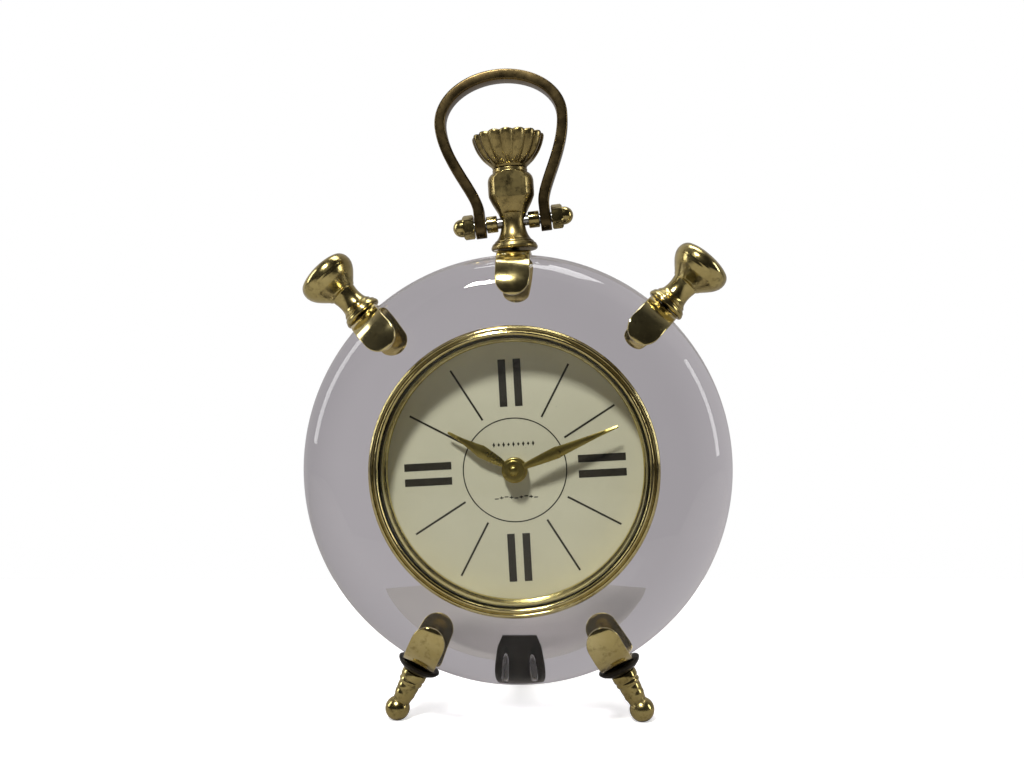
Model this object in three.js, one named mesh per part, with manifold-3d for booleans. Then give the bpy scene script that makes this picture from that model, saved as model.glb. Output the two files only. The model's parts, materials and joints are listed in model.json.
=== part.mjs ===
// Mantel clock: a clear acrylic disc with turned brass fittings strapped to its rim, a bail handle over
// the top, and a quartz clock insert in its bore. Millimetres, +Z up, the dial faces -Y.
// Everything but the last group is built in the clock's own frame, with its origin at the disc's centre
// and its Y axis along the bore. The whole clock then leans back until all three feet touch z = 0.
import * as THREE from 'three';
import { mergeVertices } from 'three/addons/utils/BufferGeometryUtils.js';
import Module from 'manifold-3d';

const wasm = await Module();
wasm.setup();

// ---------------------------------------------------------------- driving dimensions

const GAP = 0.3;                    // clearance between pieces that touch
const LEAN = THREE.MathUtils.degToRad(4);

const DISC_RADIUS = 69;
const DISC_HALF = 18;               // half of the disc's thickness
const FRONT_EDGE = 15;              // radii of its rounded edges
const BACK_EDGE = 8;
const BORE_RADIUS = 43.6;

const BEZEL_RADIUS = 45;
const BEZEL_LIP = 41.8;             // inner radius of the bezel's front lip
const BEZEL_FRONT = -22.2;
const CRYSTAL_RADIUS = 42.2;
const CRYSTAL_BACK = -19.6;
const CRYSTAL_THICK = 1.4;
const DIAL_FACE = -11.5;
const DIAL_RADIUS = 41.3;
const DIAL_THICK = 0.5;
const SIGHT_RADIUS = 40.3;          // radius of the dial that shows

const CAN_RADIUS = 42.6;
const CAN_WALL = 0.7;

const MOVEMENT_HALF = 28;           // half of the movement case's side
const MOVEMENT_FRONT = -10.7;
const MOVEMENT_SPLIT = -9.4;
const MOVEMENT_BACK = 6.6;
const CASE_WALL = 1.2;

const STRAP_WIDTH = 10.8;
const STRAP_THICK = 1.2;
const STRAP_REACH = 54.4;           // radius at which a strap's round ends stop on each face
const FITTING_BASE = DISC_RADIUS + GAP + STRAP_THICK + GAP;
const STUD_RADIUS = 1.5;
const STUD_HOLE = 1.8;
const STUD_INNER = 61;              // radius of the bottom of a stud's hole in the disc
const LEFT_KNOB_ANGLE = -44.5;      // clock angles in degrees, 0 at the top
const RIGHT_KNOB_ANGLE = 43;
const FOOT_ANGLE = 27;              // degrees from the bottom
const BALL_RADIUS = 4;
const BALL_AT = 87.2;               // radius of the front feet's ball centres
const BALL_FLAT = 0.35;             // height of the small flat worn on each ball

const TOP_TILT = THREE.MathUtils.degToRad(-3);    // the top fitting sits a little crooked on its stud
const ROD_TILT = THREE.MathUtils.degToRad(-3.2);  // and the bail's rod a little crooked in the fitting
const ROD_AT = 80;                  // height of the bail's rod over the disc's centre
const ROD_RADIUS = 1.7;
const ROD_HALF = 16.2;
const ARM_AT = 10.7;                // distance of the bail's arms from the middle
const BAIL_THICK = 3.5;
const BAIL_DEPTH = 6;
const BAIL_HALF_WIDTH = 21.8;
const BAIL_TOP = 130;
const BAIL_WIDEST_AT = 113.6;       // height at which the bail is widest
const ARM_END = 4.2;                // how far the arms reach past the rod
const NUT_FLATS = 7;

// The rear leg's plate and its boss, which slopes down and back
const REAR_PLATE_AT = -60;
const REAR_SLOPE = THREE.MathUtils.degToRad(36);

// Gear train: distances between centres follow from tooth counts and modules
const MOTION_MODULE = 0.5;
const HOUR_MODULE = 0.48;
const TRAIN_MODULE = 0.4;
const THIRD_MODULE = 0.4 * 54 / 51;
const TEETH = {
    cannon: 12, motion: 36, motionPinion: 10, hour: 40, setting: 12,
    centre: 48, thirdPinion: 6, third: 45, secondsPinion: 6, seconds: 36,
    intermediatePinion: 6, intermediate: 30, rotor: 6,
};

// ---------------------------------------------------------------- materials

const metal = (color, roughness) => new THREE.MeshStandardMaterial({ color, roughness, metalness: 1 });
const plastic = (color, roughness) => new THREE.MeshStandardMaterial({ color, roughness, metalness: 0 });

const BRASS = metal(0xb9a75c, 0.18);
const BRASS_DARK = metal(0x6b5c37, 0.35);
const STEEL = metal(0xb4b6b8, 0.3);
const COPPER = metal(0xb0683a, 0.35);
const BLACK_STEEL = new THREE.MeshStandardMaterial({ color: 0x1c1a18, roughness: 0.5, metalness: 0.4 });
const ACRYLIC = new THREE.MeshStandardMaterial({
    color: 0xcfc6cd, roughness: 0.05, metalness: 0, transparent: true, opacity: 0.35,
});
const GLASS = new THREE.MeshStandardMaterial({
    color: 0xf2f6f5, roughness: 0.02, metalness: 0, transparent: true, opacity: 0.15,
});
const DIAL_PAINT = plastic(0xb4b19a, 0.6);
const BLACK_PLASTIC = plastic(0x17171a, 0.45);
const WHITE_PLASTIC = plastic(0xdcdcd6, 0.5);
const RUBBER = plastic(0x242424, 0.85);
const BOARD_GREEN = plastic(0x1f5a33, 0.5);
const CELL_JACKET = plastic(0x3a4a58, 0.35);

// ---------------------------------------------------------------- solids

// Merges a geometry's shared vertices, drops collapsed triangles and turns its faces outward.
function closed(geometry, matrix = new THREE.Matrix4()) {
    const bare = geometry.clone().applyMatrix4(matrix);
    bare.deleteAttribute('normal');
    bare.deleteAttribute('uv');
    const merged = mergeVertices(bare, 1e-4);
    const places = merged.attributes.position;
    const found = merged.index.array;
    const kept = [];
    let volume = 0;
    for (let i = 0; i < found.length; i += 3) {
        const [a, b, c] = [found[i], found[i + 1], found[i + 2]];
        if (a === b || b === c || c === a) continue;
        const [p, q, r] = [a, b, c].map((k) => new THREE.Vector3().fromBufferAttribute(places, k));
        volume += p.dot(q.cross(r));
        kept.push(a, b, c);
    }
    if (volume < 0) kept.reverse();
    merged.setIndex(kept);
    return merged;
}

function solid(geometry, matrix) {
    const shape = closed(geometry, matrix);
    return new wasm.Manifold(new wasm.Mesh({
        numProp: 3,
        vertProperties: new Float32Array(shape.attributes.position.array),
        triVerts: new Uint32Array(shape.index.array),
    }));
}

function geometryOf(manifold) {
    const { vertProperties, triVerts } = manifold.getMesh();
    const geometry = new THREE.BufferGeometry();
    geometry.setAttribute('position', new THREE.BufferAttribute(vertProperties, 3));
    geometry.setIndex(new THREE.BufferAttribute(triVerts, 1));
    geometry.computeVertexNormals();
    return geometry;
}

const move = (x, y, z) => new THREE.Matrix4().makeTranslation(x, y, z);
const turnX = (angle) => new THREE.Matrix4().makeRotationX(angle);
const turnY = (angle) => new THREE.Matrix4().makeRotationY(angle);
const turnZ = (angle) => new THREE.Matrix4().makeRotationZ(angle);
const along = (...steps) => steps.reduce((sum, step) => sum.multiply(step), new THREE.Matrix4());

// A profile of [radius, height] pairs turned about the Y axis
function turned(profile, segments = 32) {
    return new THREE.LatheGeometry(profile.map(([r, y]) => new THREE.Vector2(r, y)), segments);
}

// A ring with a rectangular section about the Y axis
function ring(inner, outer, low, high, segments = 48) {
    return turned([[inner, low], [outer, low], [outer, high], [inner, high], [inner, low]], segments);
}

// A plain cylinder about the Y axis
function rod(radius, low, high, segments = 16) {
    return turned([[0, low], [radius, low], [radius, high], [0, high]], segments);
}

function block(x0, x1, y0, y1, z0, z1) {
    const box = new THREE.BoxGeometry(x1 - x0, y1 - y0, z1 - z0);
    return box.translate((x0 + x1) / 2, (y0 + y1) / 2, (z0 + z1) / 2);
}

// Points of an arc, in degrees, ends included
function arc(x, y, radius, from, to, steps) {
    return Array.from({ length: steps + 1 }, (_, i) => {
        const angle = THREE.MathUtils.degToRad(from + (to - from) * i / steps);
        return [x + radius * Math.cos(angle), y + radius * Math.sin(angle)];
    });
}

function outline(points) {
    return new THREE.Shape(points.map(([x, y]) => new THREE.Vector2(x, y)));
}

// A flat outline in x and z, extruded along Y from low to high
function plate(shape, low, high) {
    const options = { depth: high - low, bevelEnabled: false, curveSegments: 10 };
    const geometry = new THREE.ExtrudeGeometry(shape, options);
    return geometry.applyMatrix4(along(move(0, high, 0), turnX(Math.PI / 2)));
}

// Pointed teeth about the origin; the first tooth points along +X, or a gap does
function toothed(teeth, module, gapFirst = false) {
    const pitch = teeth * module / 2;
    const tip = pitch + 0.7 * module;
    const root = pitch - module;
    const points = [];
    for (let i = 0; i < 2 * teeth; i++) {
        const angle = Math.PI * (i + (gapFirst ? 1 : 0)) / teeth;
        const radius = i % 2 === 0 ? tip : root;
        points.push([radius * Math.cos(angle), radius * Math.sin(angle)]);
    }
    return outline(points);
}

const group = new THREE.Group();

function add(name, geometry, material, parent = group, matrix = new THREE.Matrix4()) {
    const mesh = new THREE.Mesh(geometry, material);
    mesh.name = name;
    mesh.applyMatrix4(matrix);
    parent.add(mesh);
    return mesh;
}

// A frame on the rim whose +Y points outward at a clock angle in degrees, 0 at the top
function rimFrame(degrees) {
    return along(turnY(THREE.MathUtils.degToRad(degrees)), turnX(Math.PI / 2));
}

const RIM_FITTINGS = [
    { name: 'top', angle: 0, stud: 76.3 },
    { name: 'left_knob', angle: LEFT_KNOB_ANGLE, stud: 76 },
    { name: 'right_knob', angle: RIGHT_KNOB_ANGLE, stud: 76 },
    { name: 'left_foot', angle: FOOT_ANGLE - 180, stud: 78.4 },
    { name: 'right_foot', angle: 180 - FOOT_ANGLE, stud: 78.4 },
];

// ---------------------------------------------------------------- acrylic block

const SCREW_HOLE = 1.3;
const SCREW_DEPTH = 6;
const SCREW_AT = 4.2;               // distance of the rear plate's screws from the middle

// The disc's rim from its front face to its back face, at a distance outside its surface
function rimLine(offset, steps) {
    return [
        ...arc(DISC_RADIUS - FRONT_EDGE, FRONT_EDGE - DISC_HALF, FRONT_EDGE + offset, -90, 0, steps),
        ...arc(DISC_RADIUS - BACK_EDGE, DISC_HALF - BACK_EDGE, BACK_EDGE + offset, 0, 90, steps),
    ];
}

function acrylicBlock() {
    const profile = [
        [BORE_RADIUS, -DISC_HALF], ...rimLine(0, 5), [BORE_RADIUS, DISC_HALF], [BORE_RADIUS, -DISC_HALF],
    ];
    let body = solid(turned(profile, 60));
    for (const { angle } of RIM_FITTINGS) {
        body = body.subtract(solid(rod(STUD_HOLE, STUD_INNER, DISC_RADIUS + 1, 12), rimFrame(angle)));
    }
    for (const side of [-1, 1]) {
        const drill = rod(SCREW_HOLE, DISC_HALF - SCREW_DEPTH, DISC_HALF + 1, 10);
        body = body.subtract(solid(drill, move(side * SCREW_AT, 0, REAR_PLATE_AT)));
    }
    return geometryOf(body);
}

add('acrylic_block', acrylicBlock(), ACRYLIC);

// ---------------------------------------------------------------- saddles, studs and fittings

// The strap's section follows the disc's rounded rim, and its two ends are cut round.
function saddleStrap() {
    const outer = GAP + STRAP_THICK;
    const steps = 6;
    const start = STRAP_REACH - 2;
    const points = [
        [start, -DISC_HALF - GAP], ...rimLine(GAP, steps), [start, DISC_HALF + GAP],
        [start, DISC_HALF + outer], ...rimLine(outer, steps).reverse(), [start, -DISC_HALF - outer],
    ];
    const strip = new THREE.ExtrudeGeometry(outline(points), { depth: STRAP_WIDTH, bevelEnabled: false });
    // the outline's x is the radius and its y the bore's direction; the strip's width runs sideways
    const placed = along(move(STRAP_WIDTH / 2, 0, 0), turnY(-Math.PI / 2), turnZ(Math.PI / 2));
    const hole = solid(rod(STUD_HOLE, DISC_RADIUS - 1, FITTING_BASE + 1, 12));
    const side = STRAP_WIDTH / 2;
    const roundEnd = solid(rod(side, -30, 30, 28), along(move(0, STRAP_REACH + side, 0), turnX(Math.PI / 2)));
    const rest = solid(block(-side - 1, side + 1, STRAP_REACH + side, 80, -30, 30));
    return geometryOf(solid(strip, placed).intersect(roundEnd.add(rest)).subtract(hole));
}

const strap = saddleStrap();
for (const { name, angle, stud } of RIM_FITTINGS) {
    add(`${name}_saddle`, strap, BRASS, group, rimFrame(angle));
    const thread = rod(STUD_RADIUS, STUD_INNER + GAP, stud - GAP, 10);
    add(`${name}_stud`, closed(thread), STEEL, group, rimFrame(angle));
}

function knob() {
    return closed(turned([
        [0, 76.3], [STUD_HOLE, 76.3], [STUD_HOLE, FITTING_BASE],
        [6.4, FITTING_BASE], [6.6, 71.6], [6.4, 72.6], [5.9, 73.4], [5.1, 74.3], [4.3, 75.6], [4.1, 78],
        [4.4, 80.4], [5.1, 81.5], [6.8, 83.2], [8.4, 85], [9.4, 87.1], [9.6, 88.4], [9.4, 89.9],
        [8.5, 91.2], [6.4, 92.1], [3.4, 92.6], [0, 92.7],
    ], 24));
}

add('left_knob', knob(), BRASS, group, rimFrame(LEFT_KNOB_ANGLE));
add('right_knob', knob(), BRASS, group, rimFrame(RIGHT_KNOB_ANGLE));

const WASHER_TOP = FITTING_BASE + 2.8;
const LEG_BASE = WASHER_TOP + GAP;

// A turned leg from its shoulder to its ball. The flat on the ball lies level once the clock has leaned.
function turnedLeg(base, holeDepth, ballAt, placed, flat) {
    const span = ballAt - base;
    const profile = [
        [0, base + holeDepth], [STUD_HOLE, base + holeDepth], [STUD_HOLE, base],
        [4.1, base], [4.15, base + 0.08 * span], [3.7, base + 0.2 * span], [3.95, base + 0.26 * span],
        [3.45, base + 0.34 * span], [3.5, base + 0.42 * span], [3.3, base + 0.54 * span],
        [3.35, base + 0.6 * span], [2.9, base + 0.7 * span],
        ...arc(0, ballAt, BALL_RADIUS, -45, 90, 7).map(([r, y]) => [Math.max(r, 0), y]),
    ];
    const leg = solid(turned(profile, 16), placed);
    return geometryOf(leg.subtract(flat));
}

// In the clock's frame the floor is a plane that tilts by LEAN; it is found from the front balls.
const leanMatrix = turnX(-LEAN);
const frontBall = new THREE.Vector3(0, BALL_AT, 0).applyMatrix4(rimFrame(180 - FOOT_ANGLE));
const FLOOR = frontBall.clone().applyMatrix4(leanMatrix).z - BALL_RADIUS + BALL_FLAT;
const unlean = leanMatrix.clone().invert();
const floorBlock = solid(block(-90, 90, -90, 90, FLOOR - 20, FLOOR), unlean);

const washer = closed(turned([
    [STUD_HOLE, FITTING_BASE], [7.2, FITTING_BASE], [7.2, FITTING_BASE + 0.9], [6.5, FITTING_BASE + 1.7],
    [5.4, WASHER_TOP - 0.3], [4.7, WASHER_TOP], [STUD_HOLE, WASHER_TOP], [STUD_HOLE, FITTING_BASE],
], 24));

for (const [side, angle] of [['left', FOOT_ANGLE - 180], ['right', 180 - FOOT_ANGLE]]) {
    add(`${side}_foot_washer`, washer, BLACK_STEEL, group, rimFrame(angle));
    add(`${side}_foot`, turnedLeg(LEG_BASE, 4.7, BALL_AT, rimFrame(angle), floorBlock), BRASS);
}

// ---------------------------------------------------------------- top pillar, rod and bail

const PILLAR_TOP = 97.2;
const PILLAR_FLAT = 5.5;            // distance of the flats on the barrel's front and back

// The pillar and all that it carries are built upright in a group that tilts about the pillar's foot.
const crown = new THREE.Group();
crown.applyMatrix4(along(move(0, 0, FITTING_BASE + GAP), turnY(TOP_TILT), move(0, 0, -FITTING_BASE)));
group.add(crown);

function topPillar() {
    const profile = [
        [0, 76.6], [STUD_HOLE, 76.6], [STUD_HOLE, FITTING_BASE],
        [7.5, FITTING_BASE], [7.6, 71.6], [7.3, 72.5], [6.4, 73.4], [5.4, 74.4], [4.7, 75.6], [4.2, 77],
        [3.9, 78.6], [3.95, 80.7], [4.5, 82.6], [5.5, 84.4], [6.5, 86.2], [7.1, 87.6], [7.5, 88.8],
        [7.5, 93.6], [7.2, 94.6], [6.4, 95.6], [5.7, 96.3], [5.7, PILLAR_TOP],
        [STUD_RADIUS, PILLAR_TOP], [STUD_RADIUS, 102], [0, 102],
    ];
    const upright = turnX(Math.PI / 2);
    const crossHole = rod(ROD_RADIUS + 0.25, -10, 10, 12);
    let body = solid(turned(profile, 28), upright);
    body = body.subtract(solid(crossHole, along(move(0, 0, ROD_AT), turnY(ROD_TILT), turnZ(Math.PI / 2))));
    for (const [low, high] of [[-10, -PILLAR_FLAT], [PILLAR_FLAT, 10]]) {
        body = body.subtract(solid(block(-10, 10, low, high, 82, 96.6)));
    }
    return geometryOf(body);
}

add('top_pillar', topPillar(), BRASS, crown);

// The crown is a cup that widens upward, with ribs that fade toward its neck.
function crownCup() {
    const ribs = 16;
    const base = PILLAR_TOP + GAP;
    const profile = [
        [0, 102.6], [STUD_HOLE, 102.6], [STUD_HOLE, base], [5.7, base], [6.1, 98.3], [8.1, 100.3],
        [9.6, 102.4], [10.7, 104.8], [11.3, 106.9], [11.4, 108.1], [10.8, 108.5], [8, 107], [0, 105],
    ];
    const cup = turned(profile, ribs * 3);
    const places = cup.attributes.position;
    for (let i = 0; i < places.count; i++) {
        const [x, y, z] = [places.getX(i), places.getY(i), places.getZ(i)];
        const radius = Math.hypot(x, z);
        if (radius < 4 || y < 98) continue;
        const swell = 1 + 0.035 * Math.cos(ribs * Math.atan2(x, z));
        places.setXYZ(i, x * swell, y, z * swell);
    }
    return closed(cup);
}

add('crown_cup', crownCup(), BRASS, crown, turnX(Math.PI / 2));

// The rod and what it carries tilt about its middle.
const bail = new THREE.Group();
bail.applyMatrix4(along(move(0, 0, ROD_AT), turnY(ROD_TILT), move(0, 0, -ROD_AT)));
crown.add(bail);

const acrossRod = along(move(0, 0, ROD_AT), turnZ(-Math.PI / 2));
add('bail_rod', closed(rod(ROD_RADIUS, -ROD_HALF, ROD_HALF, 12)), STEEL, bail, acrossRod);

const EYE_INNER = ARM_AT - BAIL_THICK / 2;
const EYE_OUTER = ARM_AT + BAIL_THICK / 2;
const NUT_FACE = EYE_OUTER + GAP;

function acornNut() {
    const hex = new THREE.CylinderGeometry(NUT_FLATS / Math.sqrt(3), NUT_FLATS / Math.sqrt(3), 3.6, 6);
    const dome = turned([
        [0, 3], [2.9, 3], [2.9, 4.6], [2.5, 5.7], [1.6, 6.6], [0, 7],
    ], 16);
    const thread = rod(ROD_RADIUS + 0.25, -1, ROD_HALF - NUT_FACE + GAP, 12);
    return geometryOf(solid(hex, move(0, 1.8, 0)).add(solid(dome)).subtract(solid(thread)));
}

for (const [side, sign] of [['left', -1], ['right', 1]]) {
    const facing = along(move(0, 0, ROD_AT), turnZ(-sign * Math.PI / 2));
    const sleeve = closed(ring(ROD_RADIUS + 0.25, 2.7, 5.1, EYE_INNER - GAP, 16));
    add(`${side}_spacer`, sleeve, BRASS, bail, facing);
    add(`${side}_acorn_nut`, acornNut(), BRASS, bail, along(facing, move(0, NUT_FACE, 0)));
}

// The bail is a flat strap bent into a horseshoe: arms that spread from the rod, then an oval top.
function bailHandle() {
    const half = BAIL_THICK / 2;
    const widest = BAIL_HALF_WIDTH - half;
    const rise = BAIL_TOP - half - BAIL_WIDEST_AT;
    const spread = new THREE.CubicBezierCurve(
        new THREE.Vector2(ARM_AT, ROD_AT + 4.6), new THREE.Vector2(ARM_AT, ROD_AT + 11),
        new THREE.Vector2(widest, BAIL_WIDEST_AT - 11.6), new THREE.Vector2(widest, BAIL_WIDEST_AT),
    );
    const right = spread.getPoints(9).slice(0, -1);
    const path = [
        new THREE.Vector2(ARM_AT, ROD_AT - ARM_END),
        ...right,
        ...arc(0, 0, 1, 0, 180, 16).map(([x, y]) => new THREE.Vector2(widest * x, BAIL_WIDEST_AT + rise * y)),
        ...right.map((p) => new THREE.Vector2(-p.x, p.y)).reverse(),
        new THREE.Vector2(-ARM_AT, ROD_AT - ARM_END),
    ];
    const normals = path.map((_, i) => {
        const before = path[Math.max(i - 1, 0)];
        const after = path[Math.min(i + 1, path.length - 1)];
        const way = after.clone().sub(before).normalize();
        return new THREE.Vector2(way.y, -way.x);
    });
    const edge = (offset) => path.map((p, i) => [p.x + offset * normals[i].x, p.y + offset * normals[i].y]);
    const strip = outline([...edge(half), ...edge(-half).reverse()]);
    let body = solid(plate(strip, -BAIL_DEPTH / 2, BAIL_DEPTH / 2));
    const eye = rod(ROD_RADIUS + 0.25, -BAIL_HALF_WIDTH, BAIL_HALF_WIDTH, 12);
    body = body.subtract(solid(eye, along(move(0, 0, ROD_AT), turnZ(Math.PI / 2))));
    return geometryOf(body);
}

add('bail_handle', bailHandle(), BRASS_DARK, bail);

// ---------------------------------------------------------------- rear leg

const PLATE_THICK = 1.8;
const PLATE_FACE = DISC_HALF + GAP;
const rearAxis = along(move(0, PLATE_FACE + 1.2, REAR_PLATE_AT), turnX(-REAR_SLOPE));

function rearPlate() {
    const shape = outline([
        [-6.5, -4.6], [6.5, -4.6], [6.5, 0], [7.7, 0], [5.6, 4.6], [-5.6, 4.6], [-7.7, 0], [-6.5, 0],
    ]);
    let body = solid(plate(shape, PLATE_FACE, PLATE_FACE + PLATE_THICK), move(0, 0, REAR_PLATE_AT));
    const boss = solid(rod(2.9, -6, 4.6, 16), rearAxis);
    const front = solid(block(-20, 20, DISC_HALF - 20, PLATE_FACE, REAR_PLATE_AT - 20, REAR_PLATE_AT + 20));
    body = body.add(boss).subtract(front);
    body = body.subtract(solid(rod(STUD_HOLE, 1, 6, 12), rearAxis));
    for (const side of [-1, 1]) {
        const hole = rod(SCREW_HOLE, PLATE_FACE - 1, PLATE_FACE + PLATE_THICK + 1, 10);
        body = body.subtract(solid(hole, move(side * SCREW_AT, 0, REAR_PLATE_AT)));
    }
    return geometryOf(body);
}

function plateScrew() {
    const head = PLATE_FACE + PLATE_THICK + GAP;
    return closed(turned([
        [0, DISC_HALF - SCREW_DEPTH + GAP], [1, DISC_HALF - SCREW_DEPTH + GAP], [1, head],
        [1.2, head], [1.2, head + 0.9], [0.8, head + 1.3], [0, head + 1.3],
    ], 12));
}

add('rear_leg_plate', rearPlate(), BLACK_STEEL);
for (const [side, sign] of [['left', -1], ['right', 1]]) {
    add(`${side}_plate_screw`, plateScrew(), STEEL, group, move(sign * SCREW_AT, 0, REAR_PLATE_AT));
}

// The rear ball's centre is put where its flat meets the same floor as the front feet.
const REAR_BASE = 4.6 + GAP;
function rearBallDistance() {
    const start = new THREE.Vector3(0, 0, 0).applyMatrix4(rearAxis).applyMatrix4(leanMatrix);
    const end = new THREE.Vector3(0, 1, 0).applyMatrix4(rearAxis).applyMatrix4(leanMatrix);
    const fall = start.z - end.z;
    return (start.z - (FLOOR + BALL_RADIUS - BALL_FLAT)) / fall;
}
add('rear_leg', turnedLeg(REAR_BASE, 5, rearBallDistance(), rearAxis, floorBlock), BRASS);
add('rear_leg_stud', closed(rod(STUD_RADIUS, 1.3, REAR_BASE + 4.7, 10)), STEEL, group, rearAxis);

// ---------------------------------------------------------------- bezel, crystal and insert case

add('bezel_ring', closed(turned([
    [BEZEL_LIP, BEZEL_FRONT + 0.5], [BEZEL_LIP + 0.5, BEZEL_FRONT], [43, BEZEL_FRONT],
    [43.4, BEZEL_FRONT + 0.6], [44, BEZEL_FRONT + 0.5], [44.7, BEZEL_FRONT + 1.2],
    [BEZEL_RADIUS, BEZEL_FRONT + 2.2], [BEZEL_RADIUS, -DISC_HALF - GAP],
    [CRYSTAL_RADIUS + GAP, -DISC_HALF - GAP], [CRYSTAL_RADIUS + GAP, CRYSTAL_BACK - CRYSTAL_THICK - GAP],
    [BEZEL_LIP, CRYSTAL_BACK - CRYSTAL_THICK - GAP], [BEZEL_LIP, BEZEL_FRONT + 0.5],
], 52)), BRASS);

add('crystal_lens', closed(turned([
    [0, CRYSTAL_BACK - CRYSTAL_THICK], [CRYSTAL_RADIUS, CRYSTAL_BACK - CRYSTAL_THICK],
    [CRYSTAL_RADIUS, CRYSTAL_BACK], [0, CRYSTAL_BACK],
], 56)), GLASS);

add('dial_surround', closed(turned([
    [41, CRYSTAL_BACK + GAP], [41.5, CRYSTAL_BACK + GAP], [41.5, DIAL_FACE - GAP],
    [SIGHT_RADIUS, DIAL_FACE - GAP], [SIGHT_RADIUS + 0.1, DIAL_FACE - 1.4], [41, CRYSTAL_BACK + GAP],
], 56)), BRASS);

const BUSH_RADIUS = 3.3;
const dialPlate = ring(BUSH_RADIUS + GAP, DIAL_RADIUS, DIAL_FACE, DIAL_FACE + DIAL_THICK, 48);
add('dial_plate', closed(dialPlate), DIAL_PAINT);

const CAN_FRONT = -DISC_HALF - 0.1;
const CAN_PLATE = 1.5;

function insertCan() {
    const inner = CAN_RADIUS - CAN_WALL;
    const cup = turned([
        [0, MOVEMENT_BACK - CAN_PLATE], [inner, MOVEMENT_BACK - CAN_PLATE], [inner, CAN_FRONT],
        [CAN_RADIUS, CAN_FRONT], [CAN_RADIUS, MOVEMENT_BACK], [0, MOVEMENT_BACK],
    ], 56);
    const side = MOVEMENT_HALF + GAP;
    const window = block(-side, side, MOVEMENT_BACK - 5, MOVEMENT_BACK + 5, -side, side);
    return geometryOf(solid(cup).subtract(solid(window)));
}

add('insert_can', insertCan(), BLACK_PLASTIC);
add('grip_band', closed(ring(CAN_RADIUS + GAP, BORE_RADIUS - GAP, -12, 2, 48)), RUBBER);

// ---------------------------------------------------------------- movement case and electrics

const CELL_RADIUS = 7.1;
const CELL_HALF = 24.6;
const BAY_TOP = -11.8;
const BAY_FLOOR = -8.4;
const CELL_AT = [0, BAY_FLOOR + GAP + CELL_RADIUS, -19.2];

// Centres of the wheels off the dial's axis, in x and z
const MOTION_AT = polar(MOTION_MODULE * (TEETH.cannon + TEETH.motion) / 2, 60);
const SETTING_STEP = polar(MOTION_MODULE * (TEETH.motion + TEETH.setting) / 2, 30);
const SETTING_AT = [MOTION_AT[0] + SETTING_STEP[0], MOTION_AT[1] + SETTING_STEP[1]];
const THIRD_AT = polar(TRAIN_MODULE * (TEETH.centre + TEETH.thirdPinion) / 2, 150);
const INTERMEDIATE_AT = polar(TRAIN_MODULE * (TEETH.seconds + TEETH.intermediatePinion) / 2, 20);
const ROTOR_STEP = polar(TRAIN_MODULE * (TEETH.intermediate + TEETH.rotor) / 2, 70);
const ROTOR_AT = [INTERMEDIATE_AT[0] + ROTOR_STEP[0], INTERMEDIATE_AT[1] + ROTOR_STEP[1]];

function polar(distance, degrees) {
    const angle = THREE.MathUtils.degToRad(degrees);
    return [distance * Math.cos(angle), distance * Math.sin(angle)];
}

const GEAR_FLOOR = MOVEMENT_BACK - CASE_WALL;

function movementFrontCase() {
    const side = MOVEMENT_HALF;
    const plateSolid = solid(block(-side, side, MOVEMENT_FRONT, MOVEMENT_SPLIT, -side, side));
    return geometryOf(plateSolid.subtract(solid(rod(BUSH_RADIUS + GAP, -20, 0, 20))));
}

function movementRearCase() {
    const side = MOVEMENT_HALF;
    const inside = side - CASE_WALL;
    const front = MOVEMENT_SPLIT + GAP;
    let body = solid(block(-side, side, front, MOVEMENT_BACK, -side, side));
    body = body.subtract(solid(block(-inside, inside, front - 1, GEAR_FLOOR, BAY_TOP + CASE_WALL, inside)));
    body = body.subtract(solid(block(-inside, inside, BAY_FLOOR, MOVEMENT_BACK + 1, -inside, BAY_TOP)));
    const keyhole = rod(2, GEAR_FLOOR - 1, MOVEMENT_BACK + 1, 16);
    body = body.subtract(solid(keyhole, move(SETTING_AT[0], 0, SETTING_AT[1])));
    return geometryOf(body);
}

add('movement_front_case', movementFrontCase(), BLACK_PLASTIC);
add('movement_rear_case', movementRearCase(), BLACK_PLASTIC);

// The bush passes through the dial; its collar sits inside the front case, and a nut clamps the dial.
const NUT_BACK = DIAL_FACE - GAP;
add('centre_bush', closed(turned([
    [2.8, -13.9], [BUSH_RADIUS, -13.9], [BUSH_RADIUS, MOVEMENT_SPLIT + GAP],
    [2.8, MOVEMENT_SPLIT + GAP], [2.8, -13.9],
], 20)), BRASS);

function fixingNut() {
    const hex = new THREE.CylinderGeometry(4.7, 4.7, 1.6, 6);
    const hole = rod(BUSH_RADIUS + GAP / 2, -2, 2, 20);
    return geometryOf(solid(hex).subtract(solid(hole)));
}
add('fixing_nut', fixingNut(), BRASS, group, move(0, NUT_BACK - 0.8, 0));

add('battery_cell', closed(turned([
    [0, -CELL_HALF], [4.5, -CELL_HALF], [CELL_RADIUS, -CELL_HALF + 0.6], [CELL_RADIUS, CELL_HALF - 1.5],
    [6.6, CELL_HALF - 0.9], [2.7, CELL_HALF - 0.9], [2.7, CELL_HALF + 0.4], [0, CELL_HALF + 0.4],
], 24)), CELL_JACKET, group, along(move(...CELL_AT), turnZ(-Math.PI / 2)));

for (const [name, sign] of [['contact_negative', -1], ['contact_positive', 1]]) {
    const near = sign < 0 ? -CELL_HALF - GAP - 0.4 : CELL_HALF + 0.4 + GAP;
    const spring = block(near, near + 0.4, BAY_FLOOR + GAP, BAY_FLOOR + 12, -24, -14);
    add(name, closed(spring), STEEL);
}

add('circuit_board', closed(block(-25, -20, -8.9, -8.3, -7, 16)), BOARD_GREEN);
const canisterAt = along(move(-22.5, -6.9, 8), turnX(Math.PI / 2));
add('quartz_canister', closed(rod(1, -3, 3, 12)), STEEL, group, canisterAt);

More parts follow.
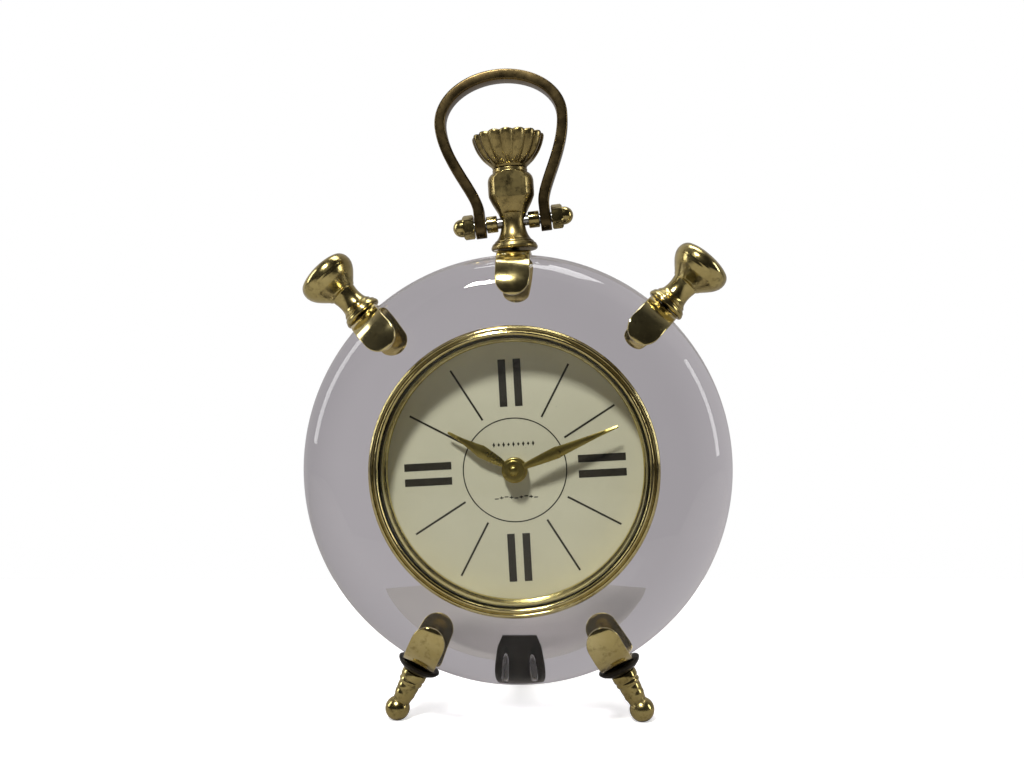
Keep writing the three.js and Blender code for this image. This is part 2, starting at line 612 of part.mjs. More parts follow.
const COIL_AT = [-13, -3, 21.6];
const coil = turned([
    [0, -10], [4.2, -10], [4.2, -9], [3.4, -9], [3.4, 9], [4.2, 9], [4.2, 10], [0, 10],
], 20);
add('drive_coil', closed(coil), COPPER, group, along(move(...COIL_AT), turnZ(-Math.PI / 2)));

const ROTOR_WINDOW = 3.6;
function statorPlate() {
    const shape = outline([
        [-24, 17.8], [-24, 12], [ROTOR_AT[0] - 4.2, 5.3], [ROTOR_AT[0] + 4.2, 5.3],
        [ROTOR_AT[0] + 4.2, 14], [-3, 17.8],
    ]);
    const window = new THREE.Path();
    window.absarc(ROTOR_AT[0], ROTOR_AT[1], ROTOR_WINDOW, 0, 2 * Math.PI, true);
    shape.holes.push(window);
    return closed(plate(shape, 2, 2.6));
}
add('stator_plate', statorPlate(), STEEL);

// ---------------------------------------------------------------- wheels

// A wheel, its pinion and its arbor as one body about the Y axis. Each toothed layer is
// { teeth, module, low, high, turn }; the arbor is { radius, low, high }.
function wheelBody(layers, arbors, bore) {
    let body = null;
    const join = (part) => {
        body = body === null ? part : body.add(part);
    };
    for (const { teeth, module, low, high, turn = 0, gapFirst = false } of layers) {
        join(solid(plate(toothed(teeth, module, gapFirst), low, high), turnY(-turn)));
    }
    for (const { radius, low, high } of arbors) join(solid(rod(radius, low, high, 12)));
    if (bore) body = body.subtract(solid(rod(bore.radius, bore.low, bore.high, 16)));
    return geometryOf(body);
}

// The turn that lets a follower's gap meet the tooth of a wheel turned by `turn`, at a direction in degrees
function meshed(direction, teeth, turn, followerTeeth) {
    const way = THREE.MathUtils.degToRad(direction);
    const phase = (way - turn) * teeth;
    return way + Math.PI + (Math.PI + phase) / followerTeeth;
}

const HOUR_LAYER = { low: -8.9, high: -7.9 };
const MOTION_LAYER = { low: -7.3, high: -6.3 };
const CENTRE_LAYER = { low: -5.7, high: -4.9 };
const THIRD_LAYER = { low: -4.3, high: -3.5 };
const SECONDS_LAYER = { low: -2.9, high: -2.1 };
const INTERMEDIATE_LAYER = { low: -1.5, high: -0.7 };

// Motion work: cannon pinion, motion wheel, hour wheel and setting pinion
const motionTurn = meshed(60, TEETH.cannon, 0, TEETH.motion);
const hourTurn = meshed(240, TEETH.motionPinion, motionTurn, TEETH.hour);
const settingTurn = meshed(30, TEETH.motion, motionTurn, TEETH.setting);

add('cannon_pinion', wheelBody(
    [{ teeth: TEETH.cannon, module: MOTION_MODULE, ...MOTION_LAYER }],
    [{ radius: 1.6, low: -16.9, high: -5.2 }, { radius: 1, low: -18, high: -16.9 }],
    null,
), BRASS);

add('motion_wheel', wheelBody(
    [
        { teeth: TEETH.motion, module: MOTION_MODULE, turn: motionTurn, ...MOTION_LAYER },
        {
            teeth: TEETH.motionPinion, module: HOUR_MODULE, turn: motionTurn,
            low: HOUR_LAYER.low, high: MOTION_LAYER.low,
        },
    ],
    [{ radius: 0.8, low: -9.1, high: -5.9 }],
    null,
), WHITE_PLASTIC, group, move(MOTION_AT[0], 0, MOTION_AT[1]));

add('hour_wheel', wheelBody(
    [{ teeth: TEETH.hour, module: HOUR_MODULE, turn: hourTurn, ...HOUR_LAYER }],
    [{ radius: 2.5, low: -15.1, high: HOUR_LAYER.high }],
    { radius: 1.9, low: -20, high: 0 },
), WHITE_PLASTIC);

add('setting_knob', wheelBody(
    [{ teeth: TEETH.setting, module: MOTION_MODULE, turn: settingTurn, ...MOTION_LAYER }],
    [
        { radius: 1.5, low: MOTION_LAYER.low, high: MOVEMENT_BACK + 1.2 },
        { radius: 4.5, low: MOVEMENT_BACK + GAP, high: MOVEMENT_BACK + 3.4 },
    ],
    null,
), WHITE_PLASTIC, group, move(SETTING_AT[0], 0, SETTING_AT[1]));

// Going train: rotor, intermediate wheel, seconds wheel, third wheel and centre wheel
const thirdTurn = meshed(150, TEETH.centre, 0, TEETH.thirdPinion);
const secondsTurn = meshed(330, TEETH.third, thirdTurn, TEETH.secondsPinion);
const intermediateTurn = meshed(20, TEETH.seconds, secondsTurn, TEETH.intermediatePinion);
const rotorTurn = meshed(70, TEETH.intermediate, intermediateTurn, TEETH.rotor);

add('centre_wheel', wheelBody(
    [{ teeth: TEETH.centre, module: TRAIN_MODULE, ...CENTRE_LAYER }],
    [],
    { radius: 1.9, low: -20, high: 0 },
), BRASS);

add('third_wheel', wheelBody(
    [
        { teeth: TEETH.third, module: THIRD_MODULE, turn: thirdTurn, ...THIRD_LAYER },
        {
            teeth: TEETH.thirdPinion, module: TRAIN_MODULE, turn: thirdTurn,
            low: CENTRE_LAYER.low, high: THIRD_LAYER.low,
        },
    ],
    [{ radius: 0.5, low: -6, high: -3.1 }],
    null,
), WHITE_PLASTIC, group, move(THIRD_AT[0], 0, THIRD_AT[1]));

add('seconds_wheel', wheelBody(
    [
        { teeth: TEETH.seconds, module: TRAIN_MODULE, turn: secondsTurn, ...SECONDS_LAYER },
        {
            teeth: TEETH.secondsPinion, module: THIRD_MODULE, turn: secondsTurn,
            low: THIRD_LAYER.low, high: SECONDS_LAYER.low,
        },
    ],
    [{ radius: 0.5, low: -4.7, high: GEAR_FLOOR - GAP }],
    null,
), WHITE_PLASTIC);

add('intermediate_wheel', wheelBody(
    [
        { teeth: TEETH.intermediate, module: TRAIN_MODULE, turn: intermediateTurn, ...INTERMEDIATE_LAYER },
        {
            teeth: TEETH.intermediatePinion, module: TRAIN_MODULE, turn: intermediateTurn,
            low: SECONDS_LAYER.low, high: INTERMEDIATE_LAYER.low,
        },
    ],
    [{ radius: 0.5, low: -3.3, high: -0.3 }],
    null,
), WHITE_PLASTIC, group, move(INTERMEDIATE_AT[0], 0, INTERMEDIATE_AT[1]));

add('rotor', wheelBody(
    [{ teeth: TEETH.rotor, module: TRAIN_MODULE, turn: rotorTurn, low: INTERMEDIATE_LAYER.low, high: 1.4 }],
    [{ radius: 0.5, low: -1.9, high: 3.4 }, { radius: 3.2, low: 1.2, high: 3 }],
    null,
), BLACK_STEEL, group, move(ROTOR_AT[0], 0, ROTOR_AT[1]));

// ---------------------------------------------------------------- hands

const MINUTE_ANGLE = 67.3;          // clockwise from the top, as seen from the front
const HOUR_ANGLE = -60;

// A lance-shaped hand in x and z, pointing up: narrow neck, widest part, long thin tip.
function hand(length, neck, width, widestAt, hub, hole) {
    const blade = outline([
        [neck / 2, 1], [width / 2, widestAt * length], [0.5, length - 0.4], [0.2, length],
        [-0.2, length], [-0.5, length - 0.4], [-width / 2, widestAt * length], [-neck / 2, 1],
    ]);
    let body = solid(plate(blade, -0.25, 0.25)).add(solid(rod(hub, -0.25, 0.25, 24)));
    body = body.subtract(solid(rod(hole, -2, 2, 16)));
    return geometryOf(body);
}

const facingTurn = (degrees) => turnY(THREE.MathUtils.degToRad(degrees));
const hourBlade = hand(24, 1.6, 4, 0.47, 4, 2.65);
add('hour_hand', hourBlade, BRASS, group, along(move(0, -14.6, 0), facingTurn(HOUR_ANGLE)));
const minuteBlade = hand(34.9, 1.6, 3.8, 0.42, 3.3, 1.15);
add('minute_hand', minuteBlade, BRASS, group, along(move(0, -17.4, 0), facingTurn(MINUTE_ANGLE)));

add('hand_cap_nut', closed(turned([
    [0, -18.3], [1.15, -18.3], [1.15, -17.9], [1.7, -17.9], [1.7, -18.5], [1.2, -19.1], [0, -19.3],
], 16)), BRASS);

// ---------------------------------------------------------------- the clock leans back onto its rear leg

group.applyMatrix4(leanMatrix);
group.updateMatrixWorld(true);
const box = new THREE.Box3().setFromObject(group, true);
const clock = new THREE.Group();
group.position.set(-(box.min.x + box.max.x) / 2, -(box.min.y + box.max.y) / 2, -FLOOR);
clock.add(group);

export default clock;
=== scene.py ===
"""Looks of the mantel clock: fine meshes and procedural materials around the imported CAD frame.

Shapes are built in millimetres in the clock's own frame (origin at the disc's centre, Y along the bore,
Z towards twelve o'clock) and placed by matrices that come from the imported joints."""

import json
import math

import bmesh
import bpy
from mathutils import Matrix, Vector


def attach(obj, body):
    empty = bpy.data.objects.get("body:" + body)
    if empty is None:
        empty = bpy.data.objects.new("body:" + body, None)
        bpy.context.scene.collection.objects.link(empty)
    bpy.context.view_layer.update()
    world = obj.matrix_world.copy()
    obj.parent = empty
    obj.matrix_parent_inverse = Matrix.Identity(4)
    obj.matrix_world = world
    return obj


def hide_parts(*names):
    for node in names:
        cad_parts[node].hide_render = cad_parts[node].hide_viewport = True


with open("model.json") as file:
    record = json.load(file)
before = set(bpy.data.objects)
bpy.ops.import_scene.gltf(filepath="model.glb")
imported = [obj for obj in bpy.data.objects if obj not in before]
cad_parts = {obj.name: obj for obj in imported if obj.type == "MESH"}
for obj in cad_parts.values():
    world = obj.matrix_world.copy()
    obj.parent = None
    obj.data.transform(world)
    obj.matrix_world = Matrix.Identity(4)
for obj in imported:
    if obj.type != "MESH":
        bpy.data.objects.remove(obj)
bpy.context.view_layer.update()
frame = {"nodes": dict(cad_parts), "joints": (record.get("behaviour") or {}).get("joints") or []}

# ---------------------------------------------------------------- frames

MM = 0.001
joints = {j["name"]: j for j in frame["joints"]}


def frame_matrix(origin, across, bore):
    """Millimetres in a frame with X across, Y along the bore, to metres in the row frame."""
    x = Vector(across).normalized()
    y = Vector(bore).normalized()
    z = x.cross(y)
    turn = Matrix((x, y, z)).transposed().to_4x4()
    return Matrix.Translation(origin) @ turn @ Matrix.Scale(MM, 4)


BORE = joints["minute_turn"]["axis"]
CLOCK = frame_matrix(Vector(joints["minute_turn"]["pos_m"]), (1, 0, 0), BORE)

# The bail's rod sits a little crooked in the pillar; both frames have the rod at the same height.
ROD_AT = 80.0
ROD_TILT = -3.2
LIFT = Matrix.Translation((0, 0, -ROD_AT))
ROD = frame_matrix(Vector(joints["bail_swing"]["pos_m"]), joints["bail_swing"]["axis"], BORE)
PILLAR = ROD @ Matrix.Rotation(math.radians(-ROD_TILT), 4, "Y") @ LIFT
ROD = ROD @ LIFT


def rim(degrees):
    """A frame on the rim whose Y axis points outward at a clock angle, 0 at the top."""
    turn = Matrix.Rotation(math.radians(degrees), 4, "Y") @ Matrix.Rotation(math.pi / 2, 4, "X")
    return CLOCK @ turn


# ---------------------------------------------------------------- dimensions, in millimetres

DISC_RADIUS, DISC_HALF, BORE_RADIUS = 69.0, 18.0, 43.6
FRONT_EDGE, BACK_EDGE = 15.0, 8.0
GAP = 0.3
STRAP_WIDTH, STRAP_THICK, STRAP_REACH = 10.8, 1.2, 54.4
STUD_INNER = 61.0
STUD_DRILL, SCREW_DRILL, ROD_HOLE = 1.55, 1.1, 1.95     # radii of the holes
DRILL_END = 72.0                                        # radius at which a stud's drill leaves the disc
FITTING_BASE = DISC_RADIUS + 2 * GAP + STRAP_THICK
RIM_ANGLES = {"top": 0, "left_knob": -44.5, "right_knob": 43, "left_foot": -153, "right_foot": 153}
BODY = "clock_body"

# ---------------------------------------------------------------- mesh helpers


def rounded(points, steps=4):
    """A profile of (r, y) or (r, y, fillet) points with each fillet drawn as an arc."""
    made = []
    for i, point in enumerate(points):
        here = Vector(point[:2])
        size = point[2] if len(point) > 2 else 0
        if not size or i in (0, len(points) - 1):
            made.append(tuple(here))
            continue
        before = Vector(points[i - 1][:2]) - here
        after = Vector(points[i + 1][:2]) - here
        reach = min(size, before.length * 0.49, after.length * 0.49)
        a = here + before.normalized() * reach
        b = here + after.normalized() * reach
        for k in range(steps + 1):
            t = k / steps
            made.append(tuple(a * (1 - t) ** 2 + here * (2 * t * (1 - t)) + b * t**2))
    return made


def arc(x, y, radius, start, end, steps):
    """Points of an arc, in degrees, ends included."""
    angles = [math.radians(start + (end - start) * i / steps) for i in range(steps + 1)]
    return [(x + radius * math.cos(a), y + radius * math.sin(a)) for a in angles]


def spline(points, steps=6):
    """A smooth curve through (r, y) points, by Catmull-Rom."""
    padded = [points[0], *points, points[-1]]
    made = []
    for i in range(len(points) - 1):
        p0, p1, p2, p3 = (Vector(p[:2]) for p in padded[i : i + 4])
        for k in range(steps):
            t = k / steps
            made.append(tuple(0.5 * (
                2 * p1 + (p2 - p0) * t + (2 * p0 - 5 * p1 + 4 * p2 - p3) * t**2
                + (3 * p1 - p0 - 3 * p2 + p3) * t**3
            )))
    return [*made, tuple(points[-1][:2])]


def build(name, vertices, faces, matrix=CLOCK, sharp=38):
    """A mesh object from millimetre vertices, with outward normals and smooth shading."""
    mesh = bpy.data.meshes.new(name)
    mesh.from_pydata([tuple(v) for v in vertices], [], faces)
    work = bmesh.new()
    work.from_mesh(mesh)
    bmesh.ops.transform(work, matrix=matrix, verts=work.verts)
    bmesh.ops.remove_doubles(work, verts=work.verts, dist=1e-7)
    bmesh.ops.recalc_face_normals(work, faces=work.faces)
    work.to_mesh(mesh)
    work.free()
    smooth(mesh, sharp)
    piece = bpy.data.objects.new(name, mesh)
    bpy.context.scene.collection.objects.link(piece)
    return piece


def smooth(mesh, sharp=38):
    mesh.shade_smooth()
    mesh.set_sharp_from_angle(angle=math.radians(sharp))


def lathe(name, profile, matrix=CLOCK, segments=128, closed=False, shape=None, sharp=38):
    """A profile turned about Y. shape(x, y, z) may move each point."""
    vertices, rings = [], []
    for r, y in profile:
        count = 1 if r < 1e-6 else segments
        rings.append(range(len(vertices), len(vertices) + count))
        for k in range(count):
            angle = 2 * math.pi * k / segments
            vertices.append(Vector((r * math.cos(angle), y, r * math.sin(angle))))
    pairs = list(zip(rings, rings[1:]))
    if closed:
        pairs.append((rings[-1], rings[0]))
    faces = []
    for a, b in pairs:
        for k in range(segments):
            n = (k + 1) % segments
            if len(a) == 1 and len(b) == 1:
                break
            if len(a) == 1:
                faces.append((a[0], b[k], b[n]))
            elif len(b) == 1:
                faces.append((a[k], a[n], b[0]))
            else:
                faces.append((a[k], a[n], b[n], b[k]))
    if shape:
        vertices = [shape(*v) for v in vertices]
    return build(name, vertices, faces, matrix, sharp)


def sweep(name, rows, matrix=CLOCK, sharp=38):
    """Rows of equally many points, skinned into a closed body with flat ends."""
    vertices = [p for row in rows for p in row]
    count = len(rows[0])
    faces = [tuple(range(count)), tuple(range(len(vertices) - count, len(vertices)))]
    for i in range(len(rows) - 1):
        for k in range(count):
            a, b = i * count + k, i * count + (k + 1) % count
            faces.append((a, b, b + count, a + count))
    return build(name, vertices, faces, matrix, sharp)


def section(half_width, low, high, edge, steps=3):
    """A rounded rectangle as (u, v) points: u across, v from low to high."""
    edge = min(edge, half_width * 0.9, (high - low) * 0.45)
    corners = (
        (half_width - edge, low + edge, -90), (half_width - edge, high - edge, 0),
        (-half_width + edge, high - edge, 90), (-half_width + edge, low + edge, 180),
    )
    return [p for u, v, start in corners for p in arc(u, v, edge, start, start + 90, steps)]


def prism(name, outlines, low, high, matrix=CLOCK, bevel=0.15, sharp=30):
    """Flat outlines in x and z, with holes where they nest, extruded along Y from low to high."""
    curve = bpy.data.curves.new(name, "CURVE")
    curve.dimensions = "2D"
    curve.fill_mode = "BOTH"
    curve.extrude = (high - low) / 2 - bevel
    curve.bevel_depth = bevel
    curve.bevel_resolution = 2
    curve.offset = -bevel
    for points in outlines:
        line = curve.splines.new("POLY")
        line.points.add(len(points) - 1)
        for target, (x, z) in zip(line.points, points):
            target.co = (x, z, 0, 1)
        line.use_cyclic_u = True
    holder = bpy.data.objects.new(name, curve)
    bpy.context.scene.collection.objects.link(holder)
    bpy.context.view_layer.update()
    ready = holder.evaluated_get(bpy.context.evaluated_depsgraph_get())
    mesh = bpy.data.meshes.new_from_object(ready)
    bpy.data.objects.remove(holder)
    stand = Matrix.Translation((0, (low + high) / 2, 0)) @ Matrix.Rotation(math.pi / 2, 4, "X")
    vertices = [stand @ v.co for v in mesh.vertices]
    piece = build(name, vertices, [tuple(p.vertices) for p in mesh.polygons], matrix, sharp)
    bpy.data.meshes.remove(mesh)
    return piece


def box(name, low, high, matrix=CLOCK, bevel=0.5):
    """A box between two corners with rounded edges."""
    corners = [(x, y, z) for x in (low[0], high[0]) for y in (low[1], high[1]) for z in (low[2], high[2])]
    faces = [(0, 1, 3, 2), (4, 6, 7, 5), (0, 4, 5, 1), (2, 3, 7, 6), (0, 2, 6, 4), (1, 5, 7, 3)]
    piece = build(name, corners, faces, matrix)
    if bevel:
        modifier = piece.modifiers.new("edges", "BEVEL")
        modifier.width = bevel * MM
        modifier.segments = 3
        settle(piece)
    return piece


def settle(piece, sharp=38):
    """Applies a piece's modifiers."""
    bpy.context.view_layer.update()
    ready = piece.evaluated_get(bpy.context.evaluated_depsgraph_get())
    mesh = bpy.data.meshes.new_from_object(ready)
    old = piece.data
    piece.modifiers.clear()
    piece.data = mesh
    bpy.data.meshes.remove(old)
    smooth(mesh, sharp)
    return piece


def combine(piece, tools, operation="DIFFERENCE", sharp=38):
    """Cuts the tools from a piece, or joins them to it, and removes them."""
    for tool in tools:
        modifier = piece.modifiers.new("cut", "BOOLEAN")
        modifier.operation = operation
        modifier.solver = "EXACT"
        modifier.object = tool
    settle(piece, sharp)
    for tool in tools:
        bpy.data.objects.remove(tool)
    return piece


def merge(name, parts):
    """Joins separate bodies into one piece without cutting them."""
    work = bmesh.new()
    for part in parts:
        work.from_mesh(part.data)
        bpy.data.objects.remove(part)
    mesh = bpy.data.meshes.new(name)
    work.to_mesh(mesh)
    work.free()
    smooth(mesh)
    piece = bpy.data.objects.new(name, mesh)
    bpy.context.scene.collection.objects.link(piece)
    return piece


def finish_piece(piece, material, *nodes, body=BODY, slot=None):
    """Gives a piece its material, ties it to a body and lets it stand for CAD nodes."""
    piece.data.materials.clear()
    piece.data.materials.append(material)
    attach(piece, body)
    if nodes:
        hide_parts(*nodes)
    return piece


# ---------------------------------------------------------------- materials


def rgb(red, green, blue):
    """An sRGB colour of 0-255 as linear values."""
    def linear(c):
        c /= 255
        return c / 12.92 if c <= 0.04045 else ((c + 0.055) / 1.055) ** 2.4
    return (linear(red), linear(green), linear(blue), 1)


class Look:
    """A Principled material whose colour, roughness and bump come from procedural nodes."""

    def __init__(self, name, metallic=0.0):
        self.material = bpy.data.materials.new(name)
        self.material.use_nodes = True
        self.tree = self.material.node_tree
        self.tree.nodes.clear()
        self.output = self.node("ShaderNodeOutputMaterial")
        self.shader = self.node("ShaderNodeBsdfPrincipled")
        self.shader.inputs["Metallic"].default_value = metallic
        self.link(self.shader.outputs["BSDF"], self.output.inputs["Surface"])
        self.place = self.node("ShaderNodeTexCoord").outputs["Object"]

    def node(self, kind, **values):
        made = self.tree.nodes.new(kind)
        for key, value in values.items():
            setattr(made, key, value)
        return made

    def link(self, source, target):
        self.tree.links.new(source, target)

    def stretch(self, x, y, z):
        mapping = self.node("ShaderNodeMapping")
        mapping.inputs["Scale"].default_value = (x, y, z)
        self.link(self.place, mapping.inputs["Vector"])
        return mapping.outputs["Vector"]

    def noise(self, scale, detail=4, roughness=0.55, place=None):
        made = self.node("ShaderNodeTexNoise")
        made.inputs["Scale"].default_value = scale
        made.inputs["Detail"].default_value = detail
        made.inputs["Roughness"].default_value = roughness
        self.link(place or self.place, made.inputs["Vector"])
        return made.outputs["Fac"]

    def ramp(self, factor, *stops):
        """Stops are (place, colour or grey level)."""
        made = self.node("ShaderNodeValToRGB")
        spots = made.color_ramp.elements
        while len(spots) < len(stops):
            spots.new(0.5)
        for spot, (place, colour) in zip(spots, stops):
            spot.position = place
            spot.color = colour if isinstance(colour, tuple) else (colour, colour, colour, 1)
        self.link(factor, made.inputs["Fac"])
        return made.outputs["Color"]

    def mix(self, factor, a, b, blend="MIX"):
        made = self.node("ShaderNodeMix", data_type="RGBA", blend_type=blend)
        colours = [s for s in made.inputs if s.type == "RGBA"]
        for value, socket in ((factor, made.inputs["Factor"]), (a, colours[0]), (b, colours[1])):
            if isinstance(value, (int, float, tuple)):
                socket.default_value = value
            else:
                self.link(value, socket)
        return next(s for s in made.outputs if s.type == "RGBA")

    def bump(self, height, strength, distance):
        made = self.node("ShaderNodeBump")
        made.inputs["Strength"].default_value = strength
        made.inputs["Distance"].default_value = distance
        self.link(height, made.inputs["Height"])
        previous = self.shader.inputs["Normal"]
        if previous.is_linked:
            self.link(previous.links[0].from_socket, made.inputs["Normal"])
        self.link(made.outputs["Normal"], previous)

    def colour(self, source):
        self.link(source, self.shader.inputs["Base Color"])

    def roughness(self, source):
        self.link(source, self.shader.inputs["Roughness"])

    def set(self, **values):
        for key, value in values.items():
            self.shader.inputs[key.replace("_", " ")].default_value = value


def brass(name, bright, warm, dark, low, high, tarnish=0.5):
    """Polished brass: cloudy tarnish, painted shade darkening the grooves while the edges stay bright, with
    fine scratches.
    """
    look = Look(name, metallic=1)
    cloud = look.ramp(look.noise(55, 6, 0.6), (0.35, 0.0), (0.72, 1.0))
    base = look.mix(cloud, bright, warm)
    spots = look.ramp(look.noise(420, 5, 0.7), (0.52, 0.0), (0.75, tarnish))
    base = look.mix(spots, base, dark)
    # Painted shade: where the surface turns inward (low pointiness) the colour is mixed towards the dark
    # tone.
    edge = look.node("ShaderNodeNewGeometry").outputs["Pointiness"]
    painted_groove_shade = look.ramp(edge, (0.40, 0.75), (0.495, 0.0))
    base = look.mix(painted_groove_shade, base, dark)
    look.colour(base)
    haze = look.noise(160, 5, 0.65)
    look.roughness(look.ramp(haze, (0.3, low), (0.75, high)))
    look.bump(look.noise(900, 3, 0.6, look.stretch(1, 6, 1)), 0.03, 0.0002)
    look.bump(look.noise(70, 2), 0.05, 0.0006)
    return look.material


def plain_metal(name, light, dark, low, high):
    look = Look(name, metallic=1)
    look.colour(look.mix(look.ramp(look.noise(140, 6, 0.6), (0.3, 0.0), (0.75, 1.0)), light, dark))
    look.roughness(look.ramp(look.noise(700, 4, 0.6, look.stretch(1, 5, 1)), (0.3, low), (0.75, high)))
    look.bump(look.noise(1200, 3, 0.6, look.stretch(1, 5, 1)), 0.05, 0.0002)
    return look.material


def moulded(name, light, dark, low, high, grain=2600, depth=0.12):
    """Moulded plastic, rubber or paint: a fine grain with slight colour and gloss variation."""
    look = Look(name)
    look.colour(look.mix(look.ramp(look.noise(90, 4), (0.3, 0.0), (0.7, 1.0)), light, dark))
    look.roughness(look.ramp(look.noise(300, 5), (0.3, low), (0.7, high)))
    look.bump(look.noise(grain, 2), depth, 0.0002)
    return look.material


def let_lamps_through(look, tint):
    """Shadow rays pass through a clear piece with a tint, so that lamps light what is behind it."""
    clear = look.node("ShaderNodeBsdfTransparent")
    clear.inputs["Color"].default_value = tint
    path = look.node("ShaderNodeLightPath")
    choice = look.node("ShaderNodeMixShader")
    look.link(path.outputs["Is Shadow Ray"], choice.inputs["Fac"])
    look.link(look.shader.outputs["BSDF"], choice.inputs[1])
    look.link(clear.outputs["BSDF"], choice.inputs[2])
    look.link(choice.outputs["Shader"], look.output.inputs["Surface"])


def acrylic_look():
    """Thick cast acrylic with a faint lilac tint, hairline scratches and a little haze."""
    look = Look("cast_acrylic")
    look.set(IOR=1.49, Transmission_Weight=1.0)
    look.colour(look.ramp(look.noise(30, 2), (0.3, (0.93, 0.92, 0.935, 1)), (0.7, (0.96, 0.95, 0.965, 1))))
    look.roughness(look.ramp(look.noise(400, 5, 0.7), (0.5, 0.0), (0.8, 0.025)))
    look.bump(look.noise(24, 1), 0.05, 0.0008)
    let_lamps_through(look, (0.80, 0.78, 0.81, 1))
    volume = look.node("ShaderNodeVolumeAbsorption")
    volume.inputs["Color"].default_value = (0.68, 0.63, 0.69, 1)
    volume.inputs["Density"].default_value = 6.0
    look.link(volume.outputs["Volume"], look.output.inputs["Volume"])
    return look.material


def crystal_look():
    """Thin flat glass: what is behind it shows straight through, under a faint gloss with specks of dust."""
    look = Look("mineral_crystal")
    look.set(IOR=1.5)
    clear = look.node("ShaderNodeBsdfTransparent")
    clear.inputs["Color"].default_value = (0.97, 0.985, 0.975, 1)
    gloss = look.node("ShaderNodeBsdfGlossy")
    gloss.inputs["Roughness"].default_value = 0.02
    facing = look.node("ShaderNodeLayerWeight").outputs["Facing"]
    mirror = look.ramp(facing, (0.0, 0.04), (0.45, 0.06), (0.75, 0.22), (1.0, 1.0))
    choice = look.node("ShaderNodeMixShader")
    dust = look.ramp(look.noise(2500, 2), (0.74, 0.0), (0.8, 0.35))
    look.colour(look.ramp(look.noise(500, 3), (0.4, (0.8, 0.8, 0.78, 1)), (0.6, (0.9, 0.9, 0.88, 1))))
    look.set(Roughness=0.7)
    look.link(mirror, choice.inputs["Fac"])
    look.link(clear.outputs["BSDF"], choice.inputs[1])
    look.link(gloss.outputs["BSDF"], choice.inputs[2])
    dusty = look.node("ShaderNodeMixShader")
    look.link(dust, dusty.inputs["Fac"])
    look.link(choice.outputs["Shader"], dusty.inputs[1])
    look.link(look.shader.outputs["BSDF"], dusty.inputs[2])
    look.link(dusty.outputs["Shader"], look.output.inputs["Surface"])
    return look.material


def dial_look():
    """Cream lacquer with a fine eggshell grain, a little darker in places."""
    look = Look("dial_lacquer")
    tone = look.ramp(look.noise(45, 4, 0.6), (0.3, rgb(218, 212, 190)), (0.7, rgb(226, 220, 198)))
    look.colour(look.mix(look.ramp(look.noise(1800, 3), (0.45, 0.0), (0.75, 0.25)), tone, rgb(202, 196, 174)))
    look.roughness(look.ramp(look.noise(500, 3), (0.3, 0.5), (0.7, 0.62)))
    look.bump(look.noise(2400, 2), 0.10, 0.0002)
    return look.material


def jacket_look(axis_centre, across):
    """A cell's printed jacket: a dark sleeve with a paler band at the positive end."""
    look = Look("cell_jacket", metallic=0.6)
    split = look.node("ShaderNodeSeparateXYZ")
    look.link(look.place, split.inputs["Vector"])
    band = look.node("ShaderNodeMath", operation="GREATER_THAN")
    look.link(split.outputs["X"], band.inputs[0])
    band.inputs[1].default_value = axis_centre + across
    worn = look.ramp(look.noise(220, 5), (0.35, 0.0), (0.8, 0.5))
    sleeve = look.mix(worn, rgb(38, 52, 66), rgb(58, 74, 90))
    copper = look.mix(worn, rgb(176, 120, 66), rgb(206, 150, 92))
    look.colour(look.mix(band.outputs["Value"], sleeve, copper))
    look.roughness(look.ramp(look.noise(300, 4), (0.3, 0.22), (0.7, 0.36)))
    return look.material


BRASS = brass("polished_brass", rgb(228, 214, 156), rgb(200, 182, 118), rgb(96, 76, 40), 0.08, 0.2, 0.6)
HAND_BRASS = brass("hand_brass", rgb(176, 158, 92), rgb(150, 130, 72), rgb(92, 74, 40), 0.24, 0.36, 0.3)
WORN_BRASS = brass("worn_brass", rgb(212, 196, 134), rgb(164, 146, 88), rgb(58, 45, 24), 0.1, 0.3, 0.85)
PATINA = brass("patinated_brass", rgb(186, 168, 112), rgb(118, 102, 62), rgb(38, 30, 18), 0.22, 0.42, 0.9)
ANTIQUE = brass("antique_brass", rgb(118, 102, 68), rgb(88, 74, 48), rgb(40, 32, 20), 0.22, 0.4, 0.7)
STEEL = plain_metal("nickel_steel", rgb(196, 196, 194), rgb(150, 150, 148), 0.18, 0.4)
COPPER = plain_metal("enamelled_copper", rgb(196, 116, 66), rgb(150, 82, 44), 0.25, 0.45)
BLACKENED = brass("blackened_steel", rgb(58, 54, 46), rgb(40, 37, 32), rgb(22, 20, 18), 0.3, 0.5, 0.6)
MAGNET = plain_metal("rotor_magnet", rgb(70, 70, 74), rgb(44, 44, 48), 0.35, 0.55)
ACRYLIC = acrylic_look()
CRYSTAL = crystal_look()
DIAL = dial_look()
INK = moulded("dial_ink", rgb(52, 46, 36), rgb(38, 33, 26), 0.4, 0.55)
BLACK_PLASTIC = moulded("black_plastic", rgb(38, 38, 41), rgb(28, 28, 30), 0.42, 0.6)
WHITE_PLASTIC = moulded("white_plastic", rgb(222, 221, 214), rgb(206, 205, 197), 0.38, 0.5)
RUBBER = moulded("rubber", rgb(44, 43, 42), rgb(32, 31, 31), 0.7, 0.9)
BOARD = moulded("board_green", rgb(38, 96, 58), rgb(26, 74, 44), 0.3, 0.5)
JACKET = jacket_look(0.0, 12 * MM)

# ---------------------------------------------------------------- acrylic block


FRONT_CENTRE = Vector((DISC_RADIUS - FRONT_EDGE, FRONT_EDGE - DISC_HALF))
BACK_CENTRE = Vector((DISC_RADIUS - BACK_EDGE, DISC_HALF - BACK_EDGE))
REAR_PLATE_AT = -60.0
SCREW_AT = 4.2


